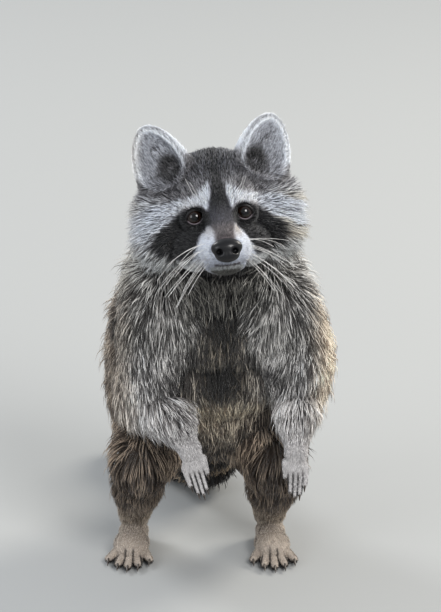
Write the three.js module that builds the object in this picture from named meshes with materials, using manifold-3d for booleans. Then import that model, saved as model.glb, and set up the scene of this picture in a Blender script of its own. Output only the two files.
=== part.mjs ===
// A young raccoon standing on its hind legs with its hands hanging in front of it, life size.
// Millimetres, +Z up. It faces -Y and its left side is +X. The origin is on the floor, under the
// middle of the whole outline. Every solid reaches out to the tips of the coat.
import * as THREE from "three";
import { mergeVertices } from "three/addons/utils/BufferGeometryUtils.js";
import Module from "manifold-3d";

const wasm = await Module();
wasm.setup();

// ---------------------------------------------------------------- driving dimensions
// Places are [across, forward, up] from the floor between the hind feet, and from the point
// between the eyes for all that is on the head. Sizes are half sizes in the same order.
const GAP = 0.4; // clearance between neighbouring solids
const OUTLINE_MIDDLE = [-4.1, -44.4]; // of the whole outline, across and forward
const SIDES = { left: 1, right: -1 };

const EYE_MIDDLE = [-0.6, 80, 316];
const HEAD_PITCH = 20; // degrees the face looks up
const HEAD_ROLL = 6; // degrees the crown leans to the animal's right
const HEAD_YAW = 3.5; // degrees the nose turns to the animal's left
const EYE_SPREAD = 19.3; // from the middle of the face to the middle of an eye
const EYE_RADIUS = 7.8;
const EYE_DEPTH = 5.6; // middle of the eyeball behind the plane of the lids
const CHEEK_REACH = 71;
const CROWN_HEIGHT = 52;
const CHIN_DROP = 46;
const NOSE_FORWARD = 43;
const NOSE_DROP = 28.5;
const NOSE_SIZE = [12, 7.5, 9.5];

const EAR_ROOT = [38, -25, 38];
const EAR_TIP = [51, -31, 75.5];
const EAR_SIZE = [23, 13]; // half width, half depth
const EAR_WALL = 4;

// Stations up the spine, each with its half width, half depth and half height
const TRUNK = [
  { middle: [-11, -34, 114], size: [74, 54, 40] },
  { middle: [-9, -20, 142], size: [83, 60, 52] },
  { middle: [-6, -1, 178], size: [86, 60, 54] },
  { middle: [-5, 15, 212], size: [81, 54, 40] },
];
const NECK = [
  { middle: [-5, 19, 246], size: [72, 51, 26] },
  { middle: [-4, 24, 274], size: [62, 48, 26] },
  { middle: [-3, 8, 304], size: [50, 29, 32] },
];

const ARMS = {
  left: { shoulder: [45, 44, 226], elbow: [62, 26, 156], wrist: [60, 76, 117], tips: [59, 85, 79] },
  right: { shoulder: [-44, 44, 226], elbow: [-59, 28, 152], wrist: [-25, 76, 119], tips: [-13, 87, 82] },
};
const SHOULDER_RADIUS = 32;
const ELBOW_RADIUS = 25;
const FOREARM_RADIUS = 18;
const WRIST_RADIUS = 9;
const HAND = {
  palm: [9.5, 6], // half width, half thickness
  digits: [11, 16, 18, 17, 13], // lengths from the thumb outward
  rootsBack: [8, 1.5, 0, 1, 4], // each digit's root behind the foremost one
  pitch: 4.3,
  spread: -0.12, // how much wider apart the tips are
  sunk: 0, // digits below the middle of the palm
  radii: [3.2, 2.5],
  claw: 6.5,
};

const LEGS = {
  left: { hip: [20, -30, 112], knee: [44, 28, 92], ankle: [40, -20, 26], toes: [44, 48, 8] },
  right: { hip: [-42, -30, 112], knee: [-64, 28, 92], ankle: [-70, -20, 26], toes: [-75, 48, 8] },
};
const THIGH_RADII = [42, 24.5];
const SHANK_RADII = [22, 14];
const HEEL_BEHIND_ANKLE = 6;
const FOOT = {
  palm: [15, 11],
  digits: [13, 18, 20, 18, 13],
  rootsBack: [7, 1.5, 0, 1.5, 6],
  pitch: 6.4,
  spread: 0.3,
  sunk: 4.2,
  radii: [4.6, 3.6],
  claw: 9,
};
const CLAW = { radius: 1.6, drop: 2, rooted: 2 };

// Down the tail: each point with its radius over the coat
const TAIL = [
  { at: [-11, -62, 96], radius: 21 },
  { at: [-10, -94, 62], radius: 25 },
  { at: [-12, -126, 37], radius: 28 },
  { at: [-22, -156, 28], radius: 30 },
  { at: [-40, -184, 27], radius: 29 },
  { at: [-57, -205, 23], radius: 23 },
];

// ---------------------------------------------------------------- frames and fields
const at = ([across, forward, up]) => new THREE.Vector3(across, -forward, up);
const radians = THREE.MathUtils.degToRad;

const headFrame = new THREE.Matrix4()
  .makeRotationFromEuler(
    new THREE.Euler(-radians(HEAD_PITCH), -radians(HEAD_ROLL), radians(HEAD_YAW)),
  )
  .setPosition(at(EYE_MIDDLE));
const onHead = (place) => at(place).applyMatrix4(headFrame);

// A field gives a point's distance outside a body in millimetres, negative inside.
function ball(middle, size, frame = new THREE.Matrix4()) {
  const inverse = frame.clone().invert();
  const centre = at(middle);
  return (point) => {
    const p = point.clone().applyMatrix4(inverse).sub(centre);
    const share = Math.hypot(p.x / size[0], p.y / size[1], p.z / size[2]);
    const slope = Math.hypot(p.x / size[0] ** 2, p.y / size[1] ** 2, p.z / size[2] ** 2);
    return slope === 0 ? -Math.min(...size) : (share * (share - 1)) / slope;
  };
}

function bone(start, end, startRadius, endRadius) {
  const segment = new THREE.Line3(start, end);
  const nearest = new THREE.Vector3();
  return (point) => {
    const share = segment.closestPointToPointParameter(point, true);
    segment.at(share, nearest);
    return point.distanceTo(nearest) - THREE.MathUtils.lerp(startRadius, endRadius, share);
  };
}

// Several fields run together, with the hollows between them filled over about "soft" millimetres
function blend(soft, ...fields) {
  return (point) => {
    const sum = fields.reduce((total, field) => total + Math.exp(-field(point) / soft), 0);
    return -soft * Math.log(sum);
  };
}

// ---------------------------------------------------------------- solids
const REACH = 130; // farther than any body reaches from its core
const STEP = 2;
const HALVINGS = 12;

// Nets of points on a unit ball: even all over, or in rings round a long body's own axis
const even = (detail) => () => new THREE.IcosahedronGeometry(1, detail);
const ringed = (sides, rings) => (axis) => {
  const turn = new THREE.Quaternion().setFromUnitVectors(new THREE.Vector3(0, 1, 0), axis);
  return new THREE.SphereGeometry(1, sides, rings).applyQuaternion(turn);
};

// The points of a net go out from a core line to where the field equals "grow".
function netOver(field, coreStart, coreEnd, net, grow) {
  const middle = coreStart.clone().lerp(coreEnd, 0.5);
  const half = coreEnd.clone().sub(middle);
  const axis = half.clone().normalize();
  const geometry = net(axis);
  const positions = geometry.attributes.position;
  const way = new THREE.Vector3();
  const point = new THREE.Vector3();
  for (let i = 0; i < positions.count; i++) {
    way.fromBufferAttribute(positions, i).normalize();
    const origin = middle.clone().addScaledVector(half, way.dot(axis));
    const outside = (far) => field(point.copy(origin).addScaledVector(way, far)) > grow;
    let low = REACH;
    while (low > 0 && outside(low)) low -= STEP;
    let high = low + STEP;
    for (let halving = 0; halving < HALVINGS; halving++) {
      const test = (low + high) / 2;
      if (outside(test)) high = test;
      else low = test;
    }
    point.copy(origin).addScaledVector(way, low);
    positions.setXYZ(i, point.x, point.y, point.z);
  }
  return geometry;
}

function solidOf(geometry) {
  const bare = geometry.clone().deleteAttribute("normal").deleteAttribute("uv");
  const merged = mergeVertices(bare, 1e-3);
  return new wasm.Manifold(
    new wasm.Mesh({
      numProp: 3,
      vertProperties: merged.attributes.position.array,
      triVerts: new Uint32Array(merged.index.array),
    }),
  );
}

function geometryOf(solid) {
  const mesh = solid.getMesh();
  return new THREE.BufferGeometry()
    .setAttribute("position", new THREE.BufferAttribute(mesh.vertProperties, 3))
    .setIndex(new THREE.BufferAttribute(mesh.triVerts, 1));
}

const largestOf = (solid) =>
  solid.decompose().reduce((best, body) => (body.volume() > best.volume() ? body : best));

const floorSlab = solidOf(new THREE.BoxGeometry(900, 900, 100).translate(0, 0, -50));

// Each maker takes "grow", and gives its body that much larger to cut the neighbours with.
const around = (field, coreStart, coreEnd, net) => (grow) =>
  solidOf(netOver(field, coreStart, coreEnd, net, grow));

// ---------------------------------------------------------------- the animal
const raccoon = new THREE.Group();
const animal = new THREE.Group();
animal.position.set(-OUTLINE_MIDDLE[0], OUTLINE_MIDDLE[1], 0);
raccoon.add(animal);
const taken = []; // the grown form of each piece so far

// Adds a piece, less what is already there and what is under the floor.
function add(name, looks, make) {
  const solid = taken.reduce((rest, other) => rest.subtract(other), make(0).subtract(floorSlab));
  taken.push(make(GAP));
  const material = new THREE.MeshStandardMaterial({ metalness: 0, ...looks });
  const mesh = new THREE.Mesh(geometryOf(largestOf(solid)), material);
  mesh.name = name;
  animal.add(mesh);
}

const GREY_FUR = { color: 0x77716a, roughness: 0.9 };
const PALE_FUR = { color: 0xcfc8bb, roughness: 0.9 };
const TAIL_FUR = { color: 0x6a6056, roughness: 0.9 };
const EYE = { color: 0x120c0a, roughness: 0.08 };
const NOSE_SKIN = { color: 0x1c1a1b, roughness: 0.45 };
const HORN = { color: 0x2a211c, roughness: 0.4 };

// Eyes
for (const [side, sign] of Object.entries(SIDES)) {
  const middle = [sign * EYE_SPREAD, -EYE_DEPTH, 0];
  const field = ball(middle, [EYE_RADIUS, EYE_RADIUS, EYE_RADIUS], headFrame);
  add("eye_" + side, EYE, around(field, onHead(middle), onHead(middle), even(2)));
}

// Nose pad, narrower below
{
  const [halfWidth, halfDepth, halfHeight] = NOSE_SIZE;
  const field = blend(
    1.2,
    ball([0, NOSE_FORWARD, 2 - NOSE_DROP], [halfWidth, halfDepth, halfHeight * 0.72], headFrame),
    ball([0, NOSE_FORWARD, -4 - NOSE_DROP], [halfWidth * 0.6, halfDepth, halfHeight * 0.55], headFrame),
  );
  const middle = onHead([0, NOSE_FORWARD, -NOSE_DROP]);
  add("nose", NOSE_SKIN, around(field, middle, middle, even(2)));
}

// Lower jaw
{
  const field = blend(
    3,
    ball([0, 20, 6 - CHIN_DROP], [9.5, 14, 6], headFrame),
    ball([0, 4, 6 - CHIN_DROP], [15, 18, 6.5], headFrame),
  );
  add("jaw", PALE_FUR, around(field, onHead([0, 20, -40]), onHead([0, 2, -40]), ringed(10, 7)));
}

// Ears: a pointed cup that opens forward and a little outward
function earCup(stand, [halfWidth, halfDepth], top, ahead) {
  const geometry = new THREE.SphereGeometry(1, 14, 8).rotateX(Math.PI / 2);
  const positions = geometry.attributes.position;
  for (let i = 0; i < positions.count; i++) {
    const height = positions.getZ(i);
    const taper = 1 - 0.17 * Math.max(0, height) ** 2;
    const forward = ahead * (1 - 0.35 * height);
    positions.setX(i, positions.getX(i) * halfWidth * taper);
    positions.setY(i, positions.getY(i) * halfDepth * taper - forward);
    positions.setZ(i, height * (height > 0 ? top : top * 0.4));
  }
  return solidOf(geometry.applyMatrix4(stand));
}

for (const [side, sign] of Object.entries(SIDES)) {
  const root = onHead([sign * EAR_ROOT[0], EAR_ROOT[1], EAR_ROOT[2]]);
  const tip = onHead([sign * EAR_TIP[0], EAR_TIP[1], EAR_TIP[2]]);
  const height = root.distanceTo(tip);
  const up = tip.clone().sub(root).normalize();
  const open = new THREE.Vector3(sign * 0.35, -1, 0.1).transformDirection(headFrame);
  const back = open.clone().addScaledVector(up, -open.dot(up)).normalize().negate();
  const across = new THREE.Vector3().crossVectors(back, up);
  const stand = new THREE.Matrix4().makeBasis(across, back, up).setPosition(root);
  const [halfWidth, halfDepth] = EAR_SIZE;
  add("ear_" + side, GREY_FUR, (grow) => {
    const outer = earCup(stand, [halfWidth + grow, halfDepth + grow], height + grow, 0);
    const hollowSize = [halfWidth - EAR_WALL, halfDepth];
    return grow > 0 ? outer : outer.subtract(earCup(stand, hollowSize, height - EAR_WALL, 9));
  });
}

// Head: skull, brow, cheeks, jowls, muzzle, lip pads, bridge and nape run together
{
  const lobe = (middle, size) => ball(middle, size, headFrame);
  const pair = ([across, forward, up], size) =>
    Object.values(SIDES).map((sign) => lobe([sign * across, forward, up], size));
  const field = blend(
    4,
    lobe([0, -40, 9], [50, 42, CROWN_HEIGHT - 8]),
    lobe([0, -12, 12], [30, 20, 20]),
    ...pair([CHEEK_REACH - 38, -35, 3], [36, 25, 33]),
    ...pair([CHEEK_REACH - 38, -31, -16], [37, 25, 25]),
    ...pair([18, -12, -25], [21, 22, CHIN_DROP - 28]),
    lobe([0, 12, -25], [18.5, 26, 13.5]),
    ...pair([8.5, 26, -29], [10.5, 14, 9.5]),
    bone(onHead([0, 34, -19]), onHead([0, -6, 4]), 6.5, 13.5),
    lobe([0, -62, -4], [42, 26, 32]),
  );
  const skull = around(field, onHead([0, 14, -18]), onHead([0, -50, 0]), even(6));
  const socket = (sign) => {
    const middle = [sign * (EYE_SPREAD + 1), 1, 0];
    return around(ball(middle, [9.5, 8, 8.5], headFrame), onHead(middle), onHead(middle), even(1))(0);
  };
  add("head", GREY_FUR, (grow) =>
    grow > 0 ? skull(grow) : skull(0).subtract(socket(1)).subtract(socket(-1)),
  );
}

// A claw: a cone from the end of a digit, its point dropping toward the pad
function claw(frame, root, length) {
  const geometry = new THREE.ConeGeometry(CLAW.radius, length, 4, 2).rotateZ(Math.PI);
  const positions = geometry.attributes.position;
  for (let i = 0; i < positions.count; i++) {
    const share = 0.5 - positions.getY(i) / length;
    positions.setY(i, CLAW.rooted - share * length);
    positions.setZ(i, positions.getZ(i) - CLAW.drop * share ** 2);
  }
  const stand = new THREE.Matrix4().makeTranslation(...at(root).toArray());
  return solidOf(geometry.applyMatrix4(stand.premultiply(frame)));
}

// A paw's frame runs from the wrist or heel: across to the animal's left, along the digits, and
// out of the back of the paw. The palm, the digits and the claws are placed in it.
function addPaw(kind, side, sizes, from, tips) {
  const { palm, digits, rootsBack, pitch, spread, sunk, radii } = sizes;
  const along = tips.clone().sub(from).normalize();
  const across = new THREE.Vector3(1, 0, 0);
  across.addScaledVector(along, -across.dot(along)).normalize();
  const back = new THREE.Vector3().crossVectors(along, across);
  const frame = new THREE.Matrix4()
    .makeBasis(across, along.clone().negate(), back)
    .setPosition(from);
  const inPaw = (place) => at(place).applyMatrix4(frame);
  const [halfWidth, halfThickness] = palm;
  const knuckles = from.distanceTo(tips) - Math.max(...digits);

  const rays = digits.map((length, digit) => {
    const aside = (digit - 2) * pitch * SIDES[side];
    const start = knuckles - rootsBack[digit];
    return {
      root: [aside * 0.9, start - radii[0], -sunk],
      end: [aside * (1 + spread), start + length - radii[1], -sunk],
    };
  });
  const palmField = blend(
    2,
    ball([0, knuckles * 0.22, 0], [halfWidth * 0.8, knuckles * 0.35, halfThickness], frame),
    ball([0, knuckles * 0.62, 0], [halfWidth, knuckles * 0.45, halfThickness * 0.9], frame),
  );
  add(kind + "_" + side, PALE_FUR, (grow) =>
    rays.reduce(
      (whole, { root, end }) => {
        const [start, stop] = [inPaw(root), inPaw(end)];
        return whole.add(around(bone(start, stop, ...radii), start, stop, ringed(6, 5))(grow));
      },
      around(palmField, inPaw([0, 0, 0]), inPaw([0, knuckles * 0.7, 0]), ringed(10, 7))(grow),
    ),
  );
  rays.forEach(({ end }, digit) => {
    const tip = [end[0], end[1] + radii[1], end[2] + 0.6];
    add(kind + "_claw_" + (digit + 1) + "_" + side, HORN, () => claw(frame, tip, sizes.claw));
  });
}

// Arms
for (const [side, places] of Object.entries(ARMS)) {
  const [shoulder, elbow, wrist, tips] = Object.values(places).map(at);
  addPaw("hand", side, HAND, wrist, tips);
  const upperArm = bone(shoulder, elbow, SHOULDER_RADIUS, ELBOW_RADIUS);
  add("upper_arm_" + side, GREY_FUR, around(upperArm, shoulder, elbow, ringed(14, 9)));
  const forearm = bone(elbow, wrist, FOREARM_RADIUS, WRIST_RADIUS);
  add("forearm_" + side, PALE_FUR, around(forearm, elbow, wrist, ringed(10, 8)));
}

// Neck and trunk
const run = (soft, stations) =>
  blend(soft, ...stations.map(({ middle, size }) => ball(middle, size)));
add("neck", GREY_FUR, around(run(5, NECK), at(NECK[0].middle), at(NECK[1].middle), even(3)));
add("trunk", GREY_FUR, around(run(6, TRUNK), at(TRUNK[0].middle), at(TRUNK.at(-1).middle), even(5)));

// Legs
for (const [side, places] of Object.entries(LEGS)) {
  const [hip, knee, ankle, toes] = Object.values(places).map(at);
  const heel = ankle.clone().setZ(toes.z + 1);
  heel.y += HEEL_BEHIND_ANKLE;
  addPaw("foot", side, FOOT, heel, toes);
  add("thigh_" + side, GREY_FUR, around(bone(hip, knee, ...THIGH_RADII), hip, knee, ringed(14, 9)));
  add("shank_" + side, GREY_FUR, around(bone(knee, ankle, ...SHANK_RADII), knee, ankle, ringed(12, 8)));
}

// All the space past a plane through a point, "clearance" further on
function beyond(point, way, clearance) {
  const turn = new THREE.Quaternion().setFromUnitVectors(new THREE.Vector3(0, 1, 0), way);
  const box = new THREE.BoxGeometry(300, 300, 300).translate(0, 150 + clearance, 0);
  return solidOf(box.applyQuaternion(turn).translate(point.x, point.y, point.z));
}

// Tail, parted across into three lengths
{
  const points = TAIL.map((station) => at(station.at));
  const bones = TAIL.slice(1).map((station, i) =>
    bone(points[i], points[i + 1], TAIL[i].radius, station.radius),
  );
  const whole = blend(2, ...bones);
  const wayAt = (i) => points[i + 1].clone().sub(points[i - 1]).normalize();
  const lengths = { tail_root: [0, 2], tail_middle: [2, 3], tail_tip: [3, 5] };
  for (const [name, [first, last]] of Object.entries(lengths)) {
    add(name, TAIL_FUR, (grow) => {
      let body = around(whole, points[first], points[last], ringed(16, 11))(grow);
      if (first > 0) body = body.subtract(beyond(points[first], wayAt(first).negate(), 0));
      if (last < points.length - 1) body = body.subtract(beyond(points[last], wayAt(last), grow));
      return body;
    });
  }
}

export default raccoon;
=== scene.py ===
import math

import bpy
import numpy as np
import openvdb
from mathutils import Euler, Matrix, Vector, kdtree


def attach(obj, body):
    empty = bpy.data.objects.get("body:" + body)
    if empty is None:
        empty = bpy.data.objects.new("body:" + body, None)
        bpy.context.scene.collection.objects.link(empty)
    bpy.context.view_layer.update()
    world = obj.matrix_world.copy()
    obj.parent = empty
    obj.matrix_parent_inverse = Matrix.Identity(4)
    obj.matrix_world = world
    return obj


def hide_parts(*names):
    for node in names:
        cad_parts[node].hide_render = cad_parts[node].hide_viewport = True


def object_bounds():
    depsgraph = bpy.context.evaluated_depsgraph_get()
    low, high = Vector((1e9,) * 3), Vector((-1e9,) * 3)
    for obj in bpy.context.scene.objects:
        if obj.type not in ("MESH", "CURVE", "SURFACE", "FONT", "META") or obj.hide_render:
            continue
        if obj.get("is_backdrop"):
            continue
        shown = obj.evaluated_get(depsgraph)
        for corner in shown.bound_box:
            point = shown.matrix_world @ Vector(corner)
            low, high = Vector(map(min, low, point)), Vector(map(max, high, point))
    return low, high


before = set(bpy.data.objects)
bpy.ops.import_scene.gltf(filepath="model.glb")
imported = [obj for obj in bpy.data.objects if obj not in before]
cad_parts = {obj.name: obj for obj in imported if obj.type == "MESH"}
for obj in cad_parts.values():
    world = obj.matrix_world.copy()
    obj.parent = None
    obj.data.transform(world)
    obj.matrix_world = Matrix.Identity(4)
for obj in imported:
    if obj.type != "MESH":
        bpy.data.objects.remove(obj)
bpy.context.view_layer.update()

# ------------------------------------------------------------------ camera, floor and lights
# A long lens looks down 20 degrees at the animal's chest. It stands on a pale matt floor under
# large soft lamps: a key high on the right, a fill on the left, and two behind for the rim.
AIM = Vector((0.0041, -0.0444, 0.211))
CAMERA_FAR, CAMERA_RAISED, LENS = 4.5, math.radians(20), 330.47

scene = bpy.context.scene
camera = bpy.data.objects.new("camera", bpy.data.cameras.new("camera"))
camera.data.lens, camera.data.sensor_width, camera.data.clip_end = LENS, 36, 60
toward_camera = Vector((0, -math.cos(CAMERA_RAISED), math.sin(CAMERA_RAISED)))
camera.location = AIM + toward_camera * CAMERA_FAR
camera.rotation_euler = toward_camera.to_track_quat("Z", "Y").to_euler()
scene.collection.objects.link(camera)
scene.camera = camera
scene.view_settings.view_transform = "Standard"


def plain_material(name, color, roughness, specular=0.3):
    material = bpy.data.materials.new(name)
    material.use_nodes = True
    shader = material.node_tree.nodes["Principled BSDF"]
    shader.inputs["Base Color"].default_value = (*color, 1)
    shader.inputs["Roughness"].default_value = roughness
    shader.inputs["Specular IOR Level"].default_value = specular
    return material, material.node_tree, shader


floor_mesh = bpy.data.meshes.new("floor")
FLOOR_REACH = 9
floor_mesh.from_pydata(
    [(x * FLOOR_REACH, y * FLOOR_REACH, 0) for x, y in ((-1, -1), (1, -1), (1, 1), (-1, 1))],
    [],
    [(0, 1, 2, 3)],
)
floor = bpy.data.objects.new("floor", floor_mesh)
floor_mesh.materials.append(plain_material("floor_paint", (0.36, 0.365, 0.36), 0.9, 0.1)[0])
scene.collection.objects.link(floor)
floor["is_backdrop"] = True

world = bpy.data.worlds.new("studio")
world.use_nodes = True
world.node_tree.nodes["Background"].inputs["Color"].default_value = (0.90, 0.94, 1.0, 1)
world.node_tree.nodes["Background"].inputs["Strength"].default_value = 0.66
scene.world = world

# Each lamp: name, place, width, watts, colour
LAMPS = (
    ("key", (1.1, -2.0, 2.0), 1.15, 58, (1.0, 0.985, 0.965)),
    ("fill", (-2.2, -1.7, 1.3), 1.6, 24, (0.94, 0.97, 1.0)),
    ("rim_left", (-1.6, 1.5, 1.6), 1.0, 34, (0.96, 0.98, 1.0)),
    ("rim_right", (1.6, 1.1, 1.4), 1.0, 44, (1.0, 0.95, 0.86)),
)
for name, place, width, watts, tint in LAMPS:
    lamp = bpy.data.objects.new(name, bpy.data.lights.new(name, "AREA"))
    lamp.data.shape, lamp.data.size, lamp.data.energy = "DISK", width, watts
    lamp.data.color = tint
    lamp.location = place
    lamp.rotation_euler = (Vector(place) - AIM).to_track_quat("Z", "Y").to_euler()
    scene.collection.objects.link(lamp)

# ------------------------------------------------------------------------------------- skin
# One hide over the whole animal, under the coat. It is the level surface of many lobes run
# together: balls for the head, neck and trunk, bones for the limbs, digits and tail, cups for
# the ears. Each lobe says how deep the coat lies on it, how long the hair is and where it lies.
MM = 0.001


def at(across, forward, up):
    """A place or a direction in part axes, from how far it is across, forward and up."""
    return np.array([across, -forward, up], float)


ORIGIN = np.array([4.1, -44.4, 0.0])  # the point between the hind feet


def on_body(place):
    """A place given from the point between the hind feet."""
    return at(*place) + ORIGIN


HEAD_TURN = (-20, -6, 3.5)  # degrees about X, Y and Z
EYE_MIDDLE = on_body((-0.6, 80, 316))
turn_x, turn_y, turn_z = (
    np.array(Euler([math.radians(HEAD_TURN[i]) if i == axis else 0 for i in range(3)]).to_matrix())
    for axis in range(3)
)
HEAD = (turn_x @ turn_y @ turn_z, EYE_MIDDLE)
BODY = (np.eye(3), ORIGIN)


def in_frame(stand, points):
    """Across, forward and up of points, in a frame."""
    return (points - stand[1]) @ stand[0] * (1, -1, 1)


def out_of(stand, place):
    """A place in a frame, in part axes."""
    return stand[0] @ at(*place) + stand[1]


def oval_distance(local, size):
    """Distance outside a ball with its own half size along each axis, true near its surface."""
    share = np.linalg.norm(local / size, axis=-1)
    slope = np.linalg.norm(local / np.square(size), axis=-1)
    return share * (share - 1) / np.maximum(slope, 1e-6)


def ball_distance(shape, points):
    stand, middle, size = shape
    return oval_distance(in_frame(stand, points) - middle, size)


def bone_distance(shape, points):
    """Distance outside a rod with round ends and its own radius at each."""
    start, end, start_radius, end_radius = shape
    way = end - start
    share = np.clip((points - start) @ way / (way @ way), 0, 1)
    away = points - start - share[..., None] * way
    return np.linalg.norm(away, axis=-1) - start_radius - (end_radius - start_radius) * share


CUP_BELOW = 0.4  # how far an ear's cup goes under its root, as a share of its height
CUP_NARROWS, CUP_CLOSES = 0.17, 0.35  # how much it narrows, and its hollow shallows, to the tip


def cup_pair(shape, points):
    """An ear: distances outside its outer cup and outside a smaller one that stands ahead of it."""
    stand, half_width, half_depth, top, wall, ahead = shape
    across, forward, up = np.moveaxis(in_frame(stand, points), -1, 0)

    def cup(width, depth, height, shift):
        tall = np.where(up > 0, height, height * CUP_BELOW)
        high = np.clip(up / tall, -1.2, 1.2)
        taper = 1 - CUP_NARROWS * np.maximum(0, high) ** 2
        ahead_of_it = (forward - shift * (1 - CUP_CLOSES * high)) / taper
        size = np.stack([np.full_like(up, width), np.full_like(up, depth), tall], -1)
        return oval_distance(np.stack([across / taper, ahead_of_it, up], -1), size)

    outer = cup(half_width, half_depth, top, 0)
    return outer, cup(half_width - wall, half_depth, top - wall, ahead)


def cup_distance(shape, points):
    outer, hollow = cup_pair(shape, points)
    return np.logaddexp(outer, -hollow)


DISTANCES = {"ball": ball_distance, "bone": bone_distance, "cup": cup_distance}
lobes = []


def add_lobe(area, kind, shape, depth, hair, lie):
    """lie: a direction of the hair, or 'nose' for back from the nose, or 'down' the trunk."""
    keys = ("area", "kind", "shape", "depth", "hair", "lie", "row")
    lobes.append(dict(zip(keys, (area, kind, shape, depth, hair, lie, len(lobes)))))


# Head: middle, half sizes, depth of the coat, length of the hair. Those off the middle are in
# pairs.
HEAD_LOBES = (
    ((0, -40, 9), (50, 42, 44), 5.5, 13),
    ((0, -12, 12), (30, 20, 20), 2.6, 7),
    ((33, -35, 3), (36, 25, 33), 8, 19),
    ((33, -31, -16), (37, 25, 25), 10, 25),
    ((18, -12, -25), (21, 22, 18), 3.4, 8),
    ((0, 12, -25), (18.5, 26, 13.5), 1.4, 3.8),
    ((8.5, 26, -29), (10.5, 14, 9.5), 1.0, 3),
    ((0, -59, -5), (42, 23.5, 32), 6.5, 15),
)
for (across, forward, up), size, depth, hair in HEAD_LOBES:
    for sign in (1, -1) if across else (1,):
        shape = (HEAD, np.array([sign * across, forward, up]), np.array(size, float))
        add_lobe("head", "ball", shape, depth, hair, "nose")
bridge = (out_of(HEAD, (0, 34, -19)), out_of(HEAD, (0, -6, 4)), 6.5, 13.5)
add_lobe("head", "bone", bridge, 1.2, 3.2, "nose")
for middle, size in (((0, 20, -40), (9.5, 14, 6)), ((0, 4, -40), (15, 18, 6.5))):
    add_lobe("jaw", "ball", (HEAD, np.array(middle), np.array(size)), 1.4, 4.5, "nose")

EYE_SPREAD, EYE_DEPTH, EYE_RADIUS, LID_THICKNESS = 19.3, 5.6, 7.8, 0.9
for sign in (1, -1):
    middle = np.array([sign * EYE_SPREAD, -EYE_DEPTH, 0])
    shape = (HEAD, middle, np.full(3, EYE_RADIUS + LID_THICKNESS))
    add_lobe("lids", "ball", shape, 0, 2.2, "nose")

EAR_ROOT, EAR_TIP, EAR_SIZE, EAR_WALL = (38, -25, 38), (51, -31, 75.5), (23, 13), 4
EAR_OPENS = (0.35, -1, 0.1)  # which way the left ear's cup opens, in the head's axes
EAR_COAT, EAR_HOLLOW_AHEAD = 1.2, 9.0
for sign in (1, -1):
    root = out_of(HEAD, (sign * EAR_ROOT[0], *EAR_ROOT[1:]))
    tip = out_of(HEAD, (sign * EAR_TIP[0], *EAR_TIP[1:]))
    up = (tip - root) / np.linalg.norm(tip - root)
    opens = HEAD[0] @ np.array([sign * EAR_OPENS[0], *EAR_OPENS[1:]])
    back = -(opens - up * (opens @ up))
    back /= np.linalg.norm(back)
    stand = (np.stack([np.cross(back, up), back, up], 1), root)
    width, depth = (half - EAR_COAT for half in EAR_SIZE)
    top = np.linalg.norm(tip - root) - EAR_COAT
    shape = (stand, width, depth, top, EAR_WALL - 1.8 * EAR_COAT, EAR_HOLLOW_AHEAD)
    add_lobe("ear", "cup", shape, 0, 6.5, up + 0.25 * sign * stand[0][:, 0])

# Trunk and neck: middle, half sizes, depth, hair
TRUNK_LOBES = (
    ((-11, -34, 114), (74, 54, 40), 13, 34),
    ((-9, -20, 142), (83, 60, 52), 15, 38),
    ((-6, -1, 178), (86, 60, 54), 15, 37),
    ((-5, 15, 212), (81, 54, 40), 14, 35),
    ((-5, 19, 246), (72, 51, 26), 13, 33),
    ((-4, 24, 274), (62, 48, 26), 12, 30),
    ((-3, 8, 304), (50, 29, 32), 9, 27),
)
for middle, size, depth, hair in TRUNK_LOBES:
    area = "neck" if middle[2] > 240 else "trunk"
    add_lobe(area, "ball", (BODY, np.array(middle), np.array(size)), depth, hair, "down")

# Limbs: places of the joints, with the ends of the middle digits last. Then for each length the
# radii over the coat at its ends, the depth of the coat, and the length of the hair at its ends.
ARMS = {
    "left": ((45, 44, 226), (62, 26, 156), (60, 76, 117), (59, 85, 79)),
    "right": ((-44, 44, 226), (-59, 28, 152), (-25, 76, 119), (-13, 87, 82)),
}
LEGS = {
    "left": ((20, -30, 112), (44, 28, 92), (40, -20, 26), (44, 48, 8)),
    "right": ((-42, -30, 112), (-64, 28, 92), (-70, -20, 26), (-75, 48, 8)),
}
ARM_LENGTHS = (
    ("arm", 32, 25, 11, (36, 38)),
    ("forearm", 18, 13.5, 6, (38, 24)),
    ("forearm", 13.5, 9, 2.6, (22, 4.5)),
)
LEG_LENGTHS = (
    ("thigh", 42, 24.5, 12, (30, 30)),
    ("shank", 22, 18, 6.5, (28, 20)),
    ("shank", 18, 14, 3.4, (18, 7)),
)
# How much the hair follows each length of a limb, and what is added to that
LIMB_LIE = {
    "arm": (1, (0, 0.1, -0.5)),
    "forearm": (1, (0, 0.1, -0.4)),
    "thigh": (0.4, (0, -0.4, -0.9)),
    "shank": (1, (0, 0.1, -0.5)),
}
for limbs, lengths in ((ARMS, ARM_LENGTHS), (LEGS, LEG_LENGTHS)):
    for places in limbs.values():
        joints = [on_body(place) for place in places]
        joints.insert(2, (joints[1] + joints[2]) / 2)  # the lower limb has two lengths
        for i, (area, start_radius, end_radius, depth, hair) in enumerate(lengths):
            shape = (joints[i], joints[i + 1], start_radius, end_radius)
            way = joints[i + 1] - joints[i]
            lie = way / np.linalg.norm(way) * LIMB_LIE[area][0] + LIMB_LIE[area][1]
            lie[0] -= 0.25 * np.sign(joints[0][0]) * (area == "arm")
            add_lobe(area, "bone", shape, depth, hair, lie)

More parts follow.
